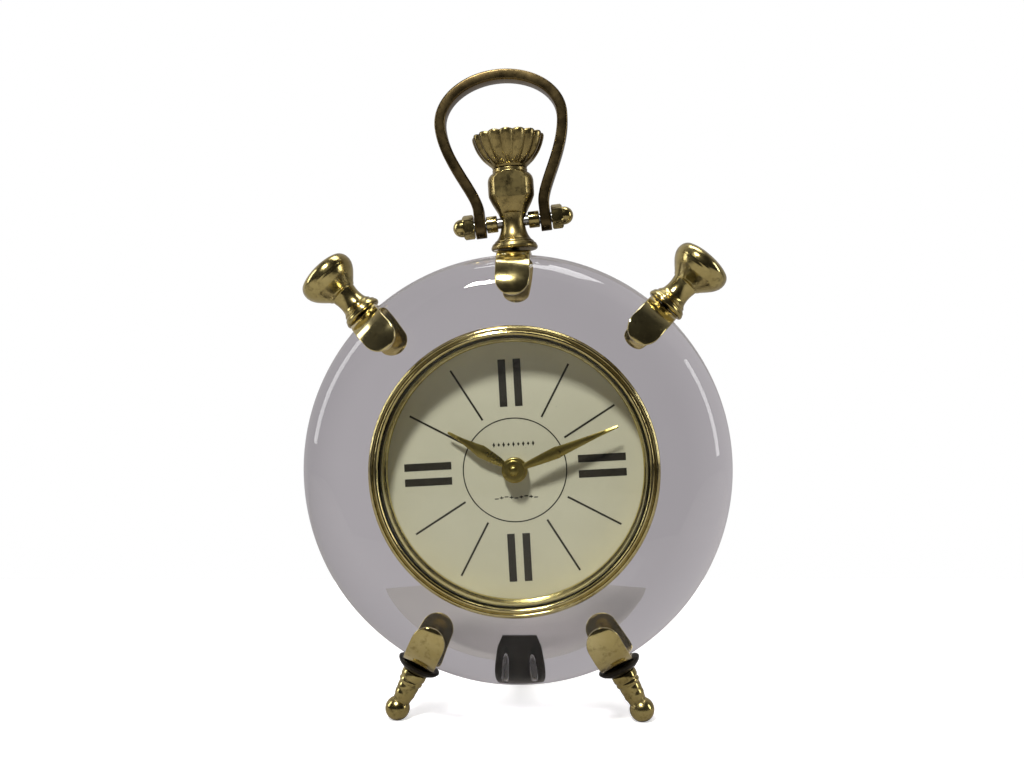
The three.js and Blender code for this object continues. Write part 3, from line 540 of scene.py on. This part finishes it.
def acrylic_block():
    profile = [
        (BORE_RADIUS, -DISC_HALF + 0.4), (BORE_RADIUS + 0.4, -DISC_HALF),
        *arc(*FRONT_CENTRE, FRONT_EDGE, -90, 0, 28), *arc(*BACK_CENTRE, BACK_EDGE, 0, 90, 20),
        (BORE_RADIUS + 0.4, DISC_HALF), (BORE_RADIUS, DISC_HALF - 0.4),
    ]
    block = lathe("acrylic_disc", profile, segments=256, closed=True)
    hole = [(0, STUD_INNER), (STUD_DRILL, STUD_INNER + 0.6), (STUD_DRILL, DRILL_END), (0, DRILL_END)]
    drills = [lathe("drill", hole, rim(angle), 24) for angle in RIM_ANGLES.values()]
    for side in (-1, 1):
        at = CLOCK @ Matrix.Translation((side * SCREW_AT, 0, REAR_PLATE_AT))
        drills.append(lathe("drill", [(0, 12), (SCREW_DRILL, 12.4), (SCREW_DRILL, 20), (0, 20)], at, 24))
    return combine(block, drills)


finish_piece(acrylic_block(), ACRYLIC, "acrylic_block", slot="acrylic")

# ---------------------------------------------------------------- saddles, studs and fittings


def strap_path():
    """Stations along the strap's inner face: radius, y, outward normal and the share of its width."""
    half = STRAP_WIDTH / 2
    reach = FRONT_EDGE + GAP
    ends = []
    for i in range(12):
        t = math.pi / 2 * (i + 1) / 12
        ends.append((STRAP_REACH + half * (1 - math.cos(t)), math.sin(t)))
    made = []
    for r, share in ends:
        normal = Vector((r - FRONT_CENTRE.x, -math.sqrt(reach**2 - (r - FRONT_CENTRE.x) ** 2))) / reach
        made.append((FRONT_CENTRE + normal * reach, normal, share))
    start = -math.degrees(math.acos((ends[-1][0] - FRONT_CENTRE.x) / reach))
    for centre, size, first, last in ((FRONT_CENTRE, reach, start, 0), (BACK_CENTRE, BACK_EDGE + GAP, 0, 90)):
        for point in arc(*centre, size, first, last, 16)[1:]:
            point = Vector(point)
            made.append((point, (point - centre) / size, 1.0))
    return made + [(Vector((r, DISC_HALF + GAP)), Vector((0, 1)), share) for r, share in reversed(ends)]


def saddle(name, angle):
    rows = []
    for point, normal, share in strap_path():
        row = []
        for u, v in section(STRAP_WIDTH / 2 * share, 0, STRAP_THICK, 0.32):
            r, y = point + normal * v
            row.append((u, r, -y))
        rows.append(row)
    piece = sweep(name, rows, rim(angle), sharp=50)
    finish_piece(piece, BRASS, name, slot="brass")


def fitting(name, profile, matrix, material=BRASS, slot="brass", nodes=None, **kw):
    piece = lathe(name, profile, matrix, **kw)
    return finish_piece(piece, material, *(nodes or [name]), slot=slot)


STUD_ENDS = {"top": 76, "left_knob": 75.7, "right_knob": 75.7, "left_foot": 78.1, "right_foot": 78.1}
THREAD_PITCH = 0.5
for part, angle in RIM_ANGLES.items():
    saddle(f"{part}_saddle", angle)
    first = STUD_INNER + 0.8
    thread = [(0, first - 0.4), (1.1, first - 0.4)]
    for i in range(int((STUD_ENDS[part] - first - 0.2) / THREAD_PITCH)):
        thread += [(1.25, first + i * THREAD_PITCH), (1.45, first + (i + 0.5) * THREAD_PITCH)]
    thread += [(1.1, STUD_ENDS[part]), (0, STUD_ENDS[part])]
    fitting(f"{part}_stud", thread, rim(angle), STEEL, "steel", segments=32)

KNOB = [
    (0, 76.3), (1.8, 76.3), (1.8, FITTING_BASE + 0.2), (2.0, FITTING_BASE), (6.2, FITTING_BASE, 0.3),
    (6.6, FITTING_BASE + 0.4, 0.3), (6.6, 71.9, 0.4), (6.25, 72.5, 0.3), (6.2, 72.9, 0.3), (5.75, 73.3, 0.2),
    (5.3, 73.7, 0.2), (5.35, 74.1, 0.2), (4.9, 74.6, 0.3), (4.4, 75.4, 0.8), (4.1, 77.2, 1.2),
    (4.15, 78.9, 1.2), (4.4, 80.3, 0.4), (4.45, 80.8, 0.2), (5.0, 81.2, 0.2), (5.4, 81.8, 0.4),
    (7.0, 83.4, 1.5), (8.5, 85.1, 1.5), (9.35, 86.7, 0.6), (9.45, 87.3, 0.3), (9.6, 87.7, 0.3),
    (9.6, 89.0, 0.5), (9.3, 90.1, 0.6), (8.5, 91.2, 1.2), (6.4, 92.1, 2), (3.4, 92.6, 2), (0, 92.7),
]
for side in ("left", "right"):
    fitting(f"{side}_knob", rounded(KNOB, 6), rim(RIM_ANGLES[f"{side}_knob"]), WORN_BRASS)

WASHER_TOP = FITTING_BASE + 2.8
WASHER = [
    (1.8, FITTING_BASE), (6.9, FITTING_BASE, 0.2), (7.2, FITTING_BASE + 0.3, 0.2), (7.2, 71.6, 0.3),
    (6.8, 72.1, 0.3), (6.5, 72.5, 0.2), (5.9, 72.9, 0.3), (5.4, 73.2, 0.2), (4.7, WASHER_TOP, 0.2),
    (1.8, WASHER_TOP),
]
BALL_RADIUS, BALL_AT, BALL_FLAT = 4.0, 87.2, 0.35
LEG_BASE = WASHER_TOP + GAP


def leg_profile(base, hole, ball):
    """A turned leg: a shoulder, two beads, a taper and a ball."""
    shares = [
        (4.1, 0.03, 0.3), (4.15, 0.08, 0.3), (4.05, 0.17, 0.4), (3.7, 0.205, 0.2), (3.95, 0.25, 0.3),
        (3.9, 0.29, 0.3), (3.45, 0.33, 0.3), (3.5, 0.42, 0.6), (3.3, 0.52, 0.4), (3.35, 0.60, 0.3),
        (3.15, 0.655, 0.3), (2.95, 0.70, 0.3),
    ]
    beads = [(1.8, base + hole), (1.8, base), (3.8, base, 0.2)]
    beads += [(r, base + share * (ball - base), fillet) for r, share, fillet in shares]
    beads.append((BALL_RADIUS * math.cos(math.radians(-45)), ball - BALL_RADIUS * math.sin(math.radians(45))))
    return [(0, base + hole), *rounded(beads, 5), *arc(0, ball, BALL_RADIUS, -43, 90, 22)]


def stand_on_floor(matrix):
    """Flattens what would reach below the floor, which is z = 0 in the row frame."""
    back = matrix.inverted()

    def shape(x, y, z):
        world = matrix @ Vector((x, y, z))
        world.z = max(world.z, 0.0)
        return back @ world

    return shape


for side in ("left", "right"):
    place = rim(RIM_ANGLES[f"{side}_foot"])
    washer = lathe(f"{side}_foot_washer", rounded(WASHER, 3), place, closed=True)
    finish_piece(washer, BLACKENED, f"{side}_foot_washer", slot="black_steel")
    leg = leg_profile(LEG_BASE, 4.7, BALL_AT)
    fitting(f"{side}_foot", leg, place, WORN_BRASS, shape=stand_on_floor(place))

# ---------------------------------------------------------------- top pillar, crown, rod and bail

BARREL_FLAT, BARREL_FOOT = 5.5, 87.6


def pillar_shape(x, y, z):
    """The barrel has a flat on its front and back, and below it the flats slope in to the neck."""
    flat = BARREL_FLAT
    if y < BARREL_FOOT:
        flat = 3.2 + (BARREL_FLAT - 3.2) * (y - 82.6) / (BARREL_FOOT - 82.6)
    if 82.6 < y < 96.0:
        z = max(-flat, min(flat, z))
    return Vector((x, y, z))


UPRIGHT = PILLAR @ Matrix.Rotation(math.pi / 2, 4, "X")
PILLAR_PROFILE = [
    (0, 76.6), (1.8, 76.6), (1.8, FITTING_BASE), (7.2, FITTING_BASE, 0.2), (7.55, FITTING_BASE + 0.35, 0.2),
    (7.6, 71.7, 0.3), (7.3, 72.3, 0.2), (7.15, 72.7, 0.2), (6.5, 73.1, 0.2), (6.4, 73.5, 0.2),
    (5.7, 74.0, 0.3), (5.2, 74.7, 0.4), (4.7, 75.6, 0.5), (4.2, 77, 0.8), (3.9, 78.6, 1), (3.95, 80.7, 1),
    (4.5, 82.6, 0.8), (5.5, 84.4, 0.8), (6.5, 86.2, 0.8), (7.1, BARREL_FOOT, 0.3), (7.4, 88.3, 0.3),
    (7.5, 89.2, 0.6), (7.5, 91.2, 0.6), (7.5, 93.4, 0.6), (7.2, 94.6, 0.5), (6.5, 95.5, 0.4),
    (6.1, 95.7, 0.15), (5.7, 96.1, 0.2), (5.7, 97.2, 0.2), (1.5, 97.2), (1.5, 102), (0, 102),
]
pillar = lathe("top_pillar", rounded(PILLAR_PROFILE, 5), UPRIGHT, 160, shape=pillar_shape, sharp=24)
cross_drill = lathe("drill", [(0, -12), (ROD_HOLE, -12), (ROD_HOLE, 12), (0, 12)],
                    ROD @ Matrix.Translation((0, 0, ROD_AT)) @ Matrix.Rotation(math.pi / 2, 4, "Z"), 32)
finish_piece(combine(pillar, [cross_drill], sharp=24), PATINA, "top_pillar", slot="brass")

CROWN_RIBS = 16


def crown_shape(x, y, z):
    """Rounded flutes that fade at the neck."""
    radius = math.hypot(x, z)
    if radius < 2.5 or y < 98.0:
        return Vector((x, y, z))
    grow = min(1.0, (y - 98.0) / 2.5)
    flute = abs(math.cos(CROWN_RIBS / 2 * math.atan2(x, z)))
    scale = 1 + grow * (0.075 * flute - 0.04)
    lift = 0.3 * grow * (flute - 1) if radius > 9 and y > 106 else 0
    return Vector((x * scale, y + lift, z * scale))


CROWN = [
    (0, 102.6), (1.8, 102.6), (1.8, 97.5), (5.5, 97.5, 0.2), (5.7, 97.7, 0.15), (5.8, 98.1, 0.2),
    (6.7, 98.9, 0.8), (8.1, 100.3, 1), (9.6, 102.4, 1.2), (10.7, 104.8, 1.2), (11.3, 106.9, 0.6),
    (11.4, 107.8, 0.4), (11.2, 108.4, 0.3), (10.7, 108.5, 0.3), (9.8, 107.9, 0.6), (8, 107, 1.5),
    (4, 105.5, 2), (0, 105),
]
crown = lathe("crown_cup", rounded(CROWN, 6), UPRIGHT, CROWN_RIBS * 14, shape=crown_shape, sharp=50)
finish_piece(crown, PATINA, "crown_cup", slot="brass")

ARM_AT, BAIL_THICK, BAIL_DEPTH = 10.7, 3.5, 6.0
BAIL_HALF_WIDTH, BAIL_TOP, BAIL_WIDEST_AT, ARM_END = 21.8, 130.0, 113.6, 4.2


def along_rod(sign):
    """Y points outward along the rod, to the right for +1."""
    return ROD @ Matrix.Translation((0, 0, ROD_AT)) @ Matrix.Rotation(-sign * math.pi / 2, 4, "Z")


fitting("bail_rod", rounded([(0, -16.2), (1.7, -16.2, 0.3), (1.7, 16.2, 0.3), (0, 16.2)]), along_rod(1),
        STEEL, "steel", segments=48)

EYE_INNER, EYE_OUTER = ARM_AT - BAIL_THICK / 2, ARM_AT + BAIL_THICK / 2
NUT_FLATS = 7.0


def acorn_nut(name, matrix):
    """A hexagon with chamfered corners under a dome."""
    hexagon = [(0.0, 3.55), (0.35, 4.04), (3.1, 4.04), (3.6, 3.5)]
    dome = [
        (3.6, 2.95), (4.3, 2.9), (4.7, 2.85), (5.3, 2.65), (5.9, 2.3), (6.4, 1.8), (6.8, 1.1), (6.98, 0.5),
    ]
    segments = 96
    rows = []
    for height, limit in [*hexagon, *dome]:
        row = []
        for k in range(segments):
            angle = 2 * math.pi * k / segments
            around = (angle + math.pi / 6) % (math.pi / 3) - math.pi / 6
            radius = min(limit, NUT_FLATS / 2 / math.cos(around))
            row.append((radius * math.cos(angle), height, radius * math.sin(angle)))
        rows.append(row)
    return sweep(name, rows, matrix, sharp=32)


for side, sign in (("left", -1), ("right", 1)):
    collar = [(ROD_HOLE, 5.1), (2.5, 5.1, 0.15), (2.7, 5.3, 0.15), (2.7, EYE_INNER - GAP - 0.2, 0.15),
              (2.5, EYE_INNER - GAP, 0.15), (ROD_HOLE, EYE_INNER - GAP)]
    spacer = lathe(f"{side}_spacer", rounded(collar, 3), along_rod(sign), 64, closed=True)
    finish_piece(spacer, WORN_BRASS, f"{side}_spacer", slot="brass")
    facing = along_rod(sign) @ Matrix.Translation((0, EYE_OUTER + GAP, 0))
    nut = acorn_nut(f"{side}_acorn_nut", facing)
    bore = lathe("drill", [(0, -1), (ROD_HOLE, -1), (ROD_HOLE, 3.7), (0, 3.9)], facing, 32)
    finish_piece(combine(nut, [bore], sharp=32), WORN_BRASS, f"{side}_acorn_nut", slot="brass")


def bail_path():
    """The bail's centre line in x and z, with each point's share of the strap's depth."""
    half = BAIL_THICK / 2
    widest = BAIL_HALF_WIDTH - half
    rise = BAIL_TOP - half - BAIL_WIDEST_AT
    ends = [
        Vector((ARM_AT, ROD_AT + 4.6)), Vector((ARM_AT, ROD_AT + 11)),
        Vector((widest, BAIL_WIDEST_AT - 11.6)), Vector((widest, BAIL_WIDEST_AT)),
    ]
    arm = []
    for i in range(10):
        t = math.pi / 2 * (i + 1) / 10
        arm.append(((ARM_AT, ROD_AT - ARM_END * math.cos(t)), math.sin(t)))
    for i in range(2, 33):
        t = (i - 2) / 30
        point = sum((ends[k] * math.comb(3, k) * t**k * (1 - t) ** (3 - k) for k in range(4)), Vector((0, 0)))
        arm.append((tuple(point), 1.0))
    top = [((x, BAIL_WIDEST_AT + z * rise / widest), 1.0) for x, z in arc(0, 0, widest, 0, 180, 64)[1:-1]]
    return arm + top + [((-x, z), share) for (x, z), share in reversed(arm)]


def bail_handle():
    path = bail_path()
    rows = []
    for i, ((x, z), share) in enumerate(path):
        before = Vector(path[max(i - 1, 0)][0])
        after = Vector(path[min(i + 1, len(path) - 1)][0])
        way = (after - before).normalized()
        normal = Vector((way.y, -way.x))
        row = []
        for u, v in section(BAIL_DEPTH / 2 * share, -BAIL_THICK / 2, BAIL_THICK / 2, 0.7, 4):
            row.append((x + normal.x * v, u, z + normal.y * v))
        rows.append(row)
    bail = sweep("bail_handle", rows, ROD, sharp=50)
    eye = lathe("drill", [(0, -30), (ROD_HOLE, -30), (ROD_HOLE, 30), (0, 30)], along_rod(1), 32)
    return combine(bail, [eye], sharp=50)


finish_piece(bail_handle(), ANTIQUE, "bail_handle", body="bail", slot="antique_brass")

# ---------------------------------------------------------------- rear leg

PLATE_FACE = DISC_HALF + GAP
PLATE_THICK = 1.8
REAR_SLOPE = math.radians(36)
REAR_AXIS = CLOCK @ Matrix.Translation((0, PLATE_FACE + 1.2, REAR_PLATE_AT))
REAR_AXIS = REAR_AXIS @ Matrix.Rotation(-REAR_SLOPE, 4, "X")
REAR_BASE = 4.6 + GAP


def rear_ball():
    """How far along the leg its ball stands on the floor."""
    start = REAR_AXIS @ Vector((0, 0, 0))
    step = REAR_AXIS @ Vector((0, 1, 0)) - start
    return (start.z / MM - (BALL_RADIUS - BALL_FLAT)) / (-step.z / MM)


def rear_plate():
    shape = [(-6.5, -4.6), (6.5, -4.6), (6.5, 0), (7.7, 0), (5.6, 4.6), (-5.6, 4.6), (-7.7, 0), (-6.5, 0)]
    plate = prism("rear_leg_plate", [shape], PLATE_FACE, PLATE_FACE + PLATE_THICK,
                  CLOCK @ Matrix.Translation((0, 0, REAR_PLATE_AT)), bevel=0.25)
    boss = lathe("boss", rounded([(0, -1.4), (2.9, -1.4), (2.9, 4.6, 0.4), (0, 4.6)]), REAR_AXIS, 64)
    combine(plate, [boss], "UNION")
    cuts = [lathe("drill", [(0, 1), (1.8, 1), (1.8, 6), (0, 6)], REAR_AXIS, 32)]
    cuts.append(box("drill", (-20, 0, REAR_PLATE_AT - 20), (20, PLATE_FACE, REAR_PLATE_AT + 20), bevel=0))
    return combine(plate, cuts)


finish_piece(rear_plate(), BLACKENED, "rear_leg_plate", slot="black_steel")
rear_leg = leg_profile(REAR_BASE, 5, rear_ball())
fitting("rear_leg", rear_leg, REAR_AXIS, WORN_BRASS, shape=stand_on_floor(REAR_AXIS))
rear_stud = rounded([(0, 1.3), (1.5, 1.3, 0.2), (1.5, 9.3, 0.2), (0, 9.3)])
fitting("rear_leg_stud", rear_stud, REAR_AXIS, STEEL, "steel", segments=32)

SCREW_HEAD = PLATE_FACE + PLATE_THICK + GAP
for side, sign in (("left", -1), ("right", 1)):
    at = CLOCK @ Matrix.Translation((sign * SCREW_AT, 0, REAR_PLATE_AT))
    head = rounded([
        (0, 12.6), (1.0, 12.6, 0.2), (1.0, SCREW_HEAD), (1.2, SCREW_HEAD), (1.2, SCREW_HEAD + 0.7, 0.3),
        (0.7, SCREW_HEAD + 1.25, 0.3), (0, SCREW_HEAD + 1.3),
    ], 3)
    screw = lathe(f"{side}_plate_screw", head, at, 48)
    slot_cut = box("drill", (-2, SCREW_HEAD + 0.9, -0.16), (2, SCREW_HEAD + 2, 0.16), at, bevel=0)
    finish_piece(combine(screw, [slot_cut]), STEEL, f"{side}_plate_screw", slot="steel")

# ---------------------------------------------------------------- bezel, crystal, surround and dial

BEZEL_FRONT, CRYSTAL_BACK, DIAL_FACE = -22.2, -19.6, -11.5
BEZEL = [
    (41.8, -21.3), (41.8, -21.75, 0.2), (42.15, BEZEL_FRONT, 0.3), (42.9, BEZEL_FRONT, 0.35),
    (43.15, -21.5, 0.15), (43.4, -21.35, 0.15), (43.75, -21.75, 0.35), (44.3, -21.65, 0.4),
    (44.55, -21.1, 0.15), (44.7, -21.0, 0.15), (45.0, -20.5, 0.4), (45.0, -18.3, 0.15), (42.5, -18.3),
    (42.5, -21.3),
]
bezel = lathe("bezel_ring", rounded(BEZEL, 4), segments=256, closed=True)
finish_piece(bezel, BRASS, "bezel_ring", slot="brass")
CRYSTAL_FRONT, CRYSTAL_RADIUS = CRYSTAL_BACK - 1.4, 42.2
crystal = [
    (0, CRYSTAL_FRONT), (CRYSTAL_RADIUS, CRYSTAL_FRONT, 0.2), (CRYSTAL_RADIUS, CRYSTAL_BACK, 0.2),
    (0, CRYSTAL_BACK),
]
fitting("crystal_lens", rounded(crystal, 2), CLOCK, CRYSTAL, "crystal", segments=192)
SURROUND = [
    (41.0, -19.3), (41.5, -19.3), (41.5, -11.8), (40.3, -11.8, 0.1), (40.3, -12.4, 0.3), (40.6, -12.9, 0.2),
    (40.9, -13.0, 0.1), (40.75, -13.4, 0.2),
]
surround = lathe("dial_surround", rounded(SURROUND, 4), segments=256, closed=True)
finish_piece(surround, BRASS, "dial_surround", slot="brass")

DIAL_HOLE, DIAL_RADIUS, DIAL_BACK = 3.6, 41.3, DIAL_FACE + 0.5
dial = [(DIAL_HOLE, DIAL_FACE), (DIAL_RADIUS, DIAL_FACE), (DIAL_RADIUS, DIAL_BACK), (DIAL_HOLE, DIAL_BACK)]
finish_piece(lathe("dial_plate", dial, segments=192, closed=True), DIAL, "dial_plate", slot="dial_paint")

INK_FACE = DIAL_FACE - 0.03
INK_THICK = 0.02
INK_BACK = INK_FACE + INK_THICK
DIAL_TURN = -2.7
CIRCLE_RADIUS, CIRCLE_LINE = 16.3, 0.38


def ink_bar(centre, radial, angle, half_length, half_width, lozenge=False):
    """A printed bar, or a lozenge, centred at a radius on the dial at a clock angle."""
    turn = Matrix.Rotation(math.radians(angle), 4, "Y")
    if lozenge:
        corners = [(0, -half_length), (half_width, 0), (0, half_length), (-half_width, 0)]
    else:
        corners = [
            (-half_width, -half_length), (half_width, -half_length),
            (half_width, half_length), (-half_width, half_length),
        ]
    made = [turn @ Vector((centre + x, INK_FACE, radial + z)) for x, z in corners]
    return made + [v + Vector((0, INK_THICK, 0)) for v in made]


def dial_print():
    """Double bars at the quarters, thin strokes at the other hours, a circle and two small ornaments."""
    vertices, faces = [], []
    prints = []
    for hour in range(12):
        if hour % 3 == 0:
            prints += [ink_bar(side * 2.4, 27.5, 30 * hour, 7.5, 1.2) for side in (-1, 1)]
        else:
            prints.append(ink_bar(0, 28, 30 * hour, 9.4, 0.32))
    for k in range(-4, 5):
        size = 0.62 if k % 2 else 0.85
        prints.append(ink_bar(1.55 * k, 8.1, 0, size, 0.42, lozenge=True))
        prints.append(ink_bar(1.55 * k, -8.6 - 0.25 * math.cos(k * math.pi / 2), 0, 0.16, 0.62))
    for k in range(-3, 4, 2):
        prints.append(ink_bar(1.55 * k, -8.6, 0, 0.6, 0.28, lozenge=True))
    for corners in prints:
        base = len(vertices)
        vertices += corners
        faces += [(base, base + 1, base + 2, base + 3), (base + 4, base + 7, base + 6, base + 5)]
        faces += [(base + i, base + 4 + i, base + 4 + (i + 1) % 4, base + (i + 1) % 4) for i in range(4)]
    turned = CLOCK @ Matrix.Rotation(math.radians(DIAL_TURN), 4, "Y")
    strokes = build("dial_strokes", vertices, faces, turned)
    inner, outer = CIRCLE_RADIUS - CIRCLE_LINE / 2, CIRCLE_RADIUS + CIRCLE_LINE / 2
    ring = [(inner, INK_FACE), (outer, INK_FACE), (outer, INK_BACK), (inner, INK_BACK)]
    return merge("dial_print", [strokes, lathe("circle", ring, segments=192, closed=True)])


finish_piece(dial_print(), INK, slot="dial_paint")

# ---------------------------------------------------------------- hands

MINUTE_ANGLE, HOUR_ANGLE = 67.3, -60.0


def hand(name, length, neck, width, widest, hub, hole, plane, angle):
    """A lance-shaped hand with a raised rib down its middle, on a round boss."""
    belly = widest * length
    stations = [
        (hub * 0.7, neck / 2), (belly * 0.55, (neck + width) / 4 + 0.1), (belly, width / 2),
        (belly + 0.9, width / 2 * 0.9), (length * 0.8, 0.75), (length - 0.5, 0.42), (length, 0.12),
    ]
    rows = []
    for z, half in spline([(half, z) for z, half in stations], 5):
        rib = 0.25 + 0.32 * min(1.0, z / 1.9)
        ridge = (0, 0.25 - rib, half)
        rows.append([(-z, 0.25, half), (z, 0.25, half), (z, 0.12, half), ridge, (-z, 0.12, half)])
    at = CLOCK @ Matrix.Translation((0, plane, 0)) @ Matrix.Rotation(math.radians(angle), 4, "Y")
    blade = sweep(name, rows, at, sharp=12)
    disc = [(hole, -0.3), (hub - 0.3, -0.3, 0.2), (hub, -0.1, 0.2), (hub, 0.25, 0.1), (hole, 0.25)]
    return merge(name, [blade, lathe("boss", rounded(disc, 3), at, 64, closed=True)])


hour = hand("hour_hand", 24, 1.5, 4.0, 0.5, 4.0, 2.65, -14.6, HOUR_ANGLE)
finish_piece(hour, HAND_BRASS, "hour_hand", body="hour_pipe", slot="hand_brass")
minute = hand("minute_hand", 34.9, 1.5, 3.8, 0.42, 3.3, 1.15, -17.4, MINUTE_ANGLE)
finish_piece(minute, HAND_BRASS, "minute_hand", body="minute_arbor", slot="hand_brass")
CAP_NUT = [
    (0, -18.3), (1.15, -18.3), (1.15, -17.9), (1.7, -17.9, 0.15), (1.7, -18.5, 0.4), (1.2, -19.1, 0.5),
    (0, -19.3),
]
cap_nut = lathe("hand_cap_nut", rounded(CAP_NUT, 4), segments=48)
finish_piece(cap_nut, HAND_BRASS, "hand_cap_nut", body="minute_arbor", slot="brass")

NUT_FRONT, NUT_BACK = DIAL_FACE - 1.9, DIAL_FACE - GAP
RING_NUT = [
    (3.5, NUT_FRONT), (3.85, NUT_FRONT, 0.1), (4.05, NUT_FRONT + 0.25, 0.1), (4.05, NUT_BACK, 0.1),
    (3.5, NUT_BACK),
]
fixing_nut = lathe("fixing_nut", rounded(RING_NUT, 3), segments=96, closed=True)
finish_piece(fixing_nut, BRASS, "fixing_nut", slot="brass")

# ---------------------------------------------------------------- CAD meshes that only take a material

CARRIED = {
    "insert_can": BLACK_PLASTIC, "grip_band": RUBBER, "movement_front_case": BLACK_PLASTIC,
    "movement_rear_case": BLACK_PLASTIC, "centre_bush": BRASS, "battery_cell": JACKET,
    "contact_negative": STEEL, "contact_positive": STEEL, "circuit_board": BOARD,
    "quartz_canister": STEEL, "drive_coil": COPPER, "stator_plate": STEEL, "cannon_pinion": BRASS,
    "motion_wheel": WHITE_PLASTIC, "hour_wheel": WHITE_PLASTIC, "setting_knob": WHITE_PLASTIC,
    "centre_wheel": BRASS, "third_wheel": WHITE_PLASTIC, "seconds_wheel": WHITE_PLASTIC,
    "intermediate_wheel": WHITE_PLASTIC, "rotor": MAGNET,
}
for node, material in CARRIED.items():
    mesh = frame["nodes"][node].data
    mesh.materials.clear()
    mesh.materials.append(material)

# ---------------------------------------------------------------- floor, light and camera

def floor_look():
    """A pale matte table. It looks bright itself, and throws less light into the clock."""
    look = Look("pale_floor")
    look.colour(look.ramp(look.noise(3, 3), (0.3, rgb(226, 226, 226)), (0.7, rgb(236, 236, 236))))
    look.roughness(look.ramp(look.noise(40, 4), (0.3, 0.7), (0.7, 0.85)))
    dim = look.node("ShaderNodeBsdfDiffuse")
    dim.inputs["Color"].default_value = rgb(160, 157, 154)
    path = look.node("ShaderNodeLightPath")
    choice = look.node("ShaderNodeMixShader")
    look.set(Emission_Color=(1, 1, 1, 1), Emission_Strength=0.55)
    look.link(path.outputs["Is Camera Ray"], choice.inputs["Fac"])
    look.link(dim.outputs["BSDF"], choice.inputs[1])
    look.link(look.shader.outputs["BSDF"], choice.inputs[2])
    look.link(choice.outputs["Shader"], look.output.inputs["Surface"])
    return look.material


corners = [(-1500, -1200, 0), (1500, -1200, 0), (1500, 190, 0), (-1500, 190, 0)]
floor = build("floor", corners, [(0, 1, 2, 3)], Matrix.Scale(MM, 4))
floor.data.materials.append(floor_look())


def softbox(name, place, aim, width, height, power, colour=(1, 1, 1)):
    lamp = bpy.data.lights.new(name, "AREA")
    lamp.shape = "RECTANGLE"
    lamp.size, lamp.size_y = width, height
    lamp.energy = power
    lamp.color = colour
    holder = bpy.data.objects.new(name, lamp)
    holder.location = place
    holder.rotation_mode = "QUATERNION"
    holder.rotation_quaternion = (Vector(aim) - Vector(place)).to_track_quat("-Z", "Y")
    bpy.context.scene.collection.objects.link(holder)


AIM = (0, 0, 0.1)
softbox("key", (-0.21, -0.7, 1.02), AIM, 0.16, 0.16, 12.5, (1.0, 0.98, 0.94))
softbox("left_strip", (-1.0, 0.0, 0.5), AIM, 0.25, 0.7, 2.4)
softbox("right_strip", (1.05, -0.15, 0.4), AIM, 0.2, 0.6, 2.0)
softbox("overhead", (0.1, 0.2, 1.15), AIM, 0.7, 0.35, 4.5)


def studio_world():
    """White to the camera. Mirrored or seen through the acrylic: a grey wall behind, a dark room in front."""
    world = bpy.data.worlds.new("studio")
    bpy.context.scene.world = world
    world.use_nodes = True
    nodes, links = world.node_tree.nodes, world.node_tree.links
    nodes.clear()
    way = nodes.new("ShaderNodeSeparateXYZ")
    links.new(nodes.new("ShaderNodeTexCoord").outputs["Generated"], way.inputs["Vector"])
    depth = nodes.new("ShaderNodeMath")
    depth.operation = "MULTIPLY_ADD"
    depth.inputs[1].default_value = 0.5
    depth.inputs[2].default_value = 0.5
    links.new(way.outputs["Y"], depth.inputs[0])
    room = nodes.new("ShaderNodeValToRGB")
    stops = ((0.0, 0.03), (0.40, 0.05), (0.55, 0.18), (0.8, 0.50))
    spots = room.color_ramp.elements
    while len(spots) < len(stops):
        spots.new(0.5)
    for spot, (place, level) in zip(spots, stops):
        spot.position = place
        spot.color = (level * 1.02, level * 0.98, level * 1.0, 1)
    links.new(depth.outputs["Value"], room.inputs["Fac"])
    mirrored = nodes.new("ShaderNodeBackground")
    links.new(room.outputs["Color"], mirrored.inputs["Color"])
    side = nodes.new("ShaderNodeMath")
    side.operation = "MULTIPLY_ADD"
    side.inputs[1].default_value = -0.3
    side.inputs[2].default_value = 0.85
    links.new(way.outputs["X"], side.inputs[0])
    links.new(side.outputs["Value"], mirrored.inputs["Strength"])
    seen = nodes.new("ShaderNodeBackground")
    seen.inputs["Color"].default_value = (1, 1, 1, 1)
    choice = nodes.new("ShaderNodeMixShader")
    links.new(nodes.new("ShaderNodeLightPath").outputs["Is Camera Ray"], choice.inputs["Fac"])
    links.new(mirrored.outputs["Background"], choice.inputs[1])
    links.new(seen.outputs["Background"], choice.inputs[2])
    links.new(choice.outputs["Shader"], nodes.new("ShaderNodeOutputWorld").inputs["Surface"])


studio_world()
bpy.context.scene.view_settings.view_transform = "Standard"

CAMERA_AZIMUTH, CAMERA_HEIGHT, CAMERA_ROLL = math.radians(3.24), math.radians(2.64), math.radians(-0.75)
CAMERA_DISTANCE = 0.367
CAMERA_TARGET = Vector(joints["minute_turn"]["pos_m"]) + Vector((-1.62, 7.4, 27.0)) * MM
camera_data = bpy.data.cameras.new("camera")
camera_data.lens = 39.0
camera_data.sensor_width = 36.0
camera_data.clip_start = 0.01
camera = bpy.data.objects.new("camera", camera_data)
bpy.context.scene.collection.objects.link(camera)
bpy.context.scene.camera = camera
flat = math.cos(CAMERA_HEIGHT)
back = Vector((math.sin(CAMERA_AZIMUTH) * flat, -math.cos(CAMERA_AZIMUTH) * flat, math.sin(CAMERA_HEIGHT)))
right = back.cross(Vector((0, 0, 1))).normalized() * -1
up = back.cross(right)
tilted_right = right * math.cos(CAMERA_ROLL) + up * math.sin(CAMERA_ROLL)
tilted_up = up * math.cos(CAMERA_ROLL) - right * math.sin(CAMERA_ROLL)
turn = Matrix((tilted_right, tilted_up, back)).transposed().to_4x4()
camera.matrix_world = Matrix.Translation(CAMERA_TARGET + back * CAMERA_DISTANCE) @ turn
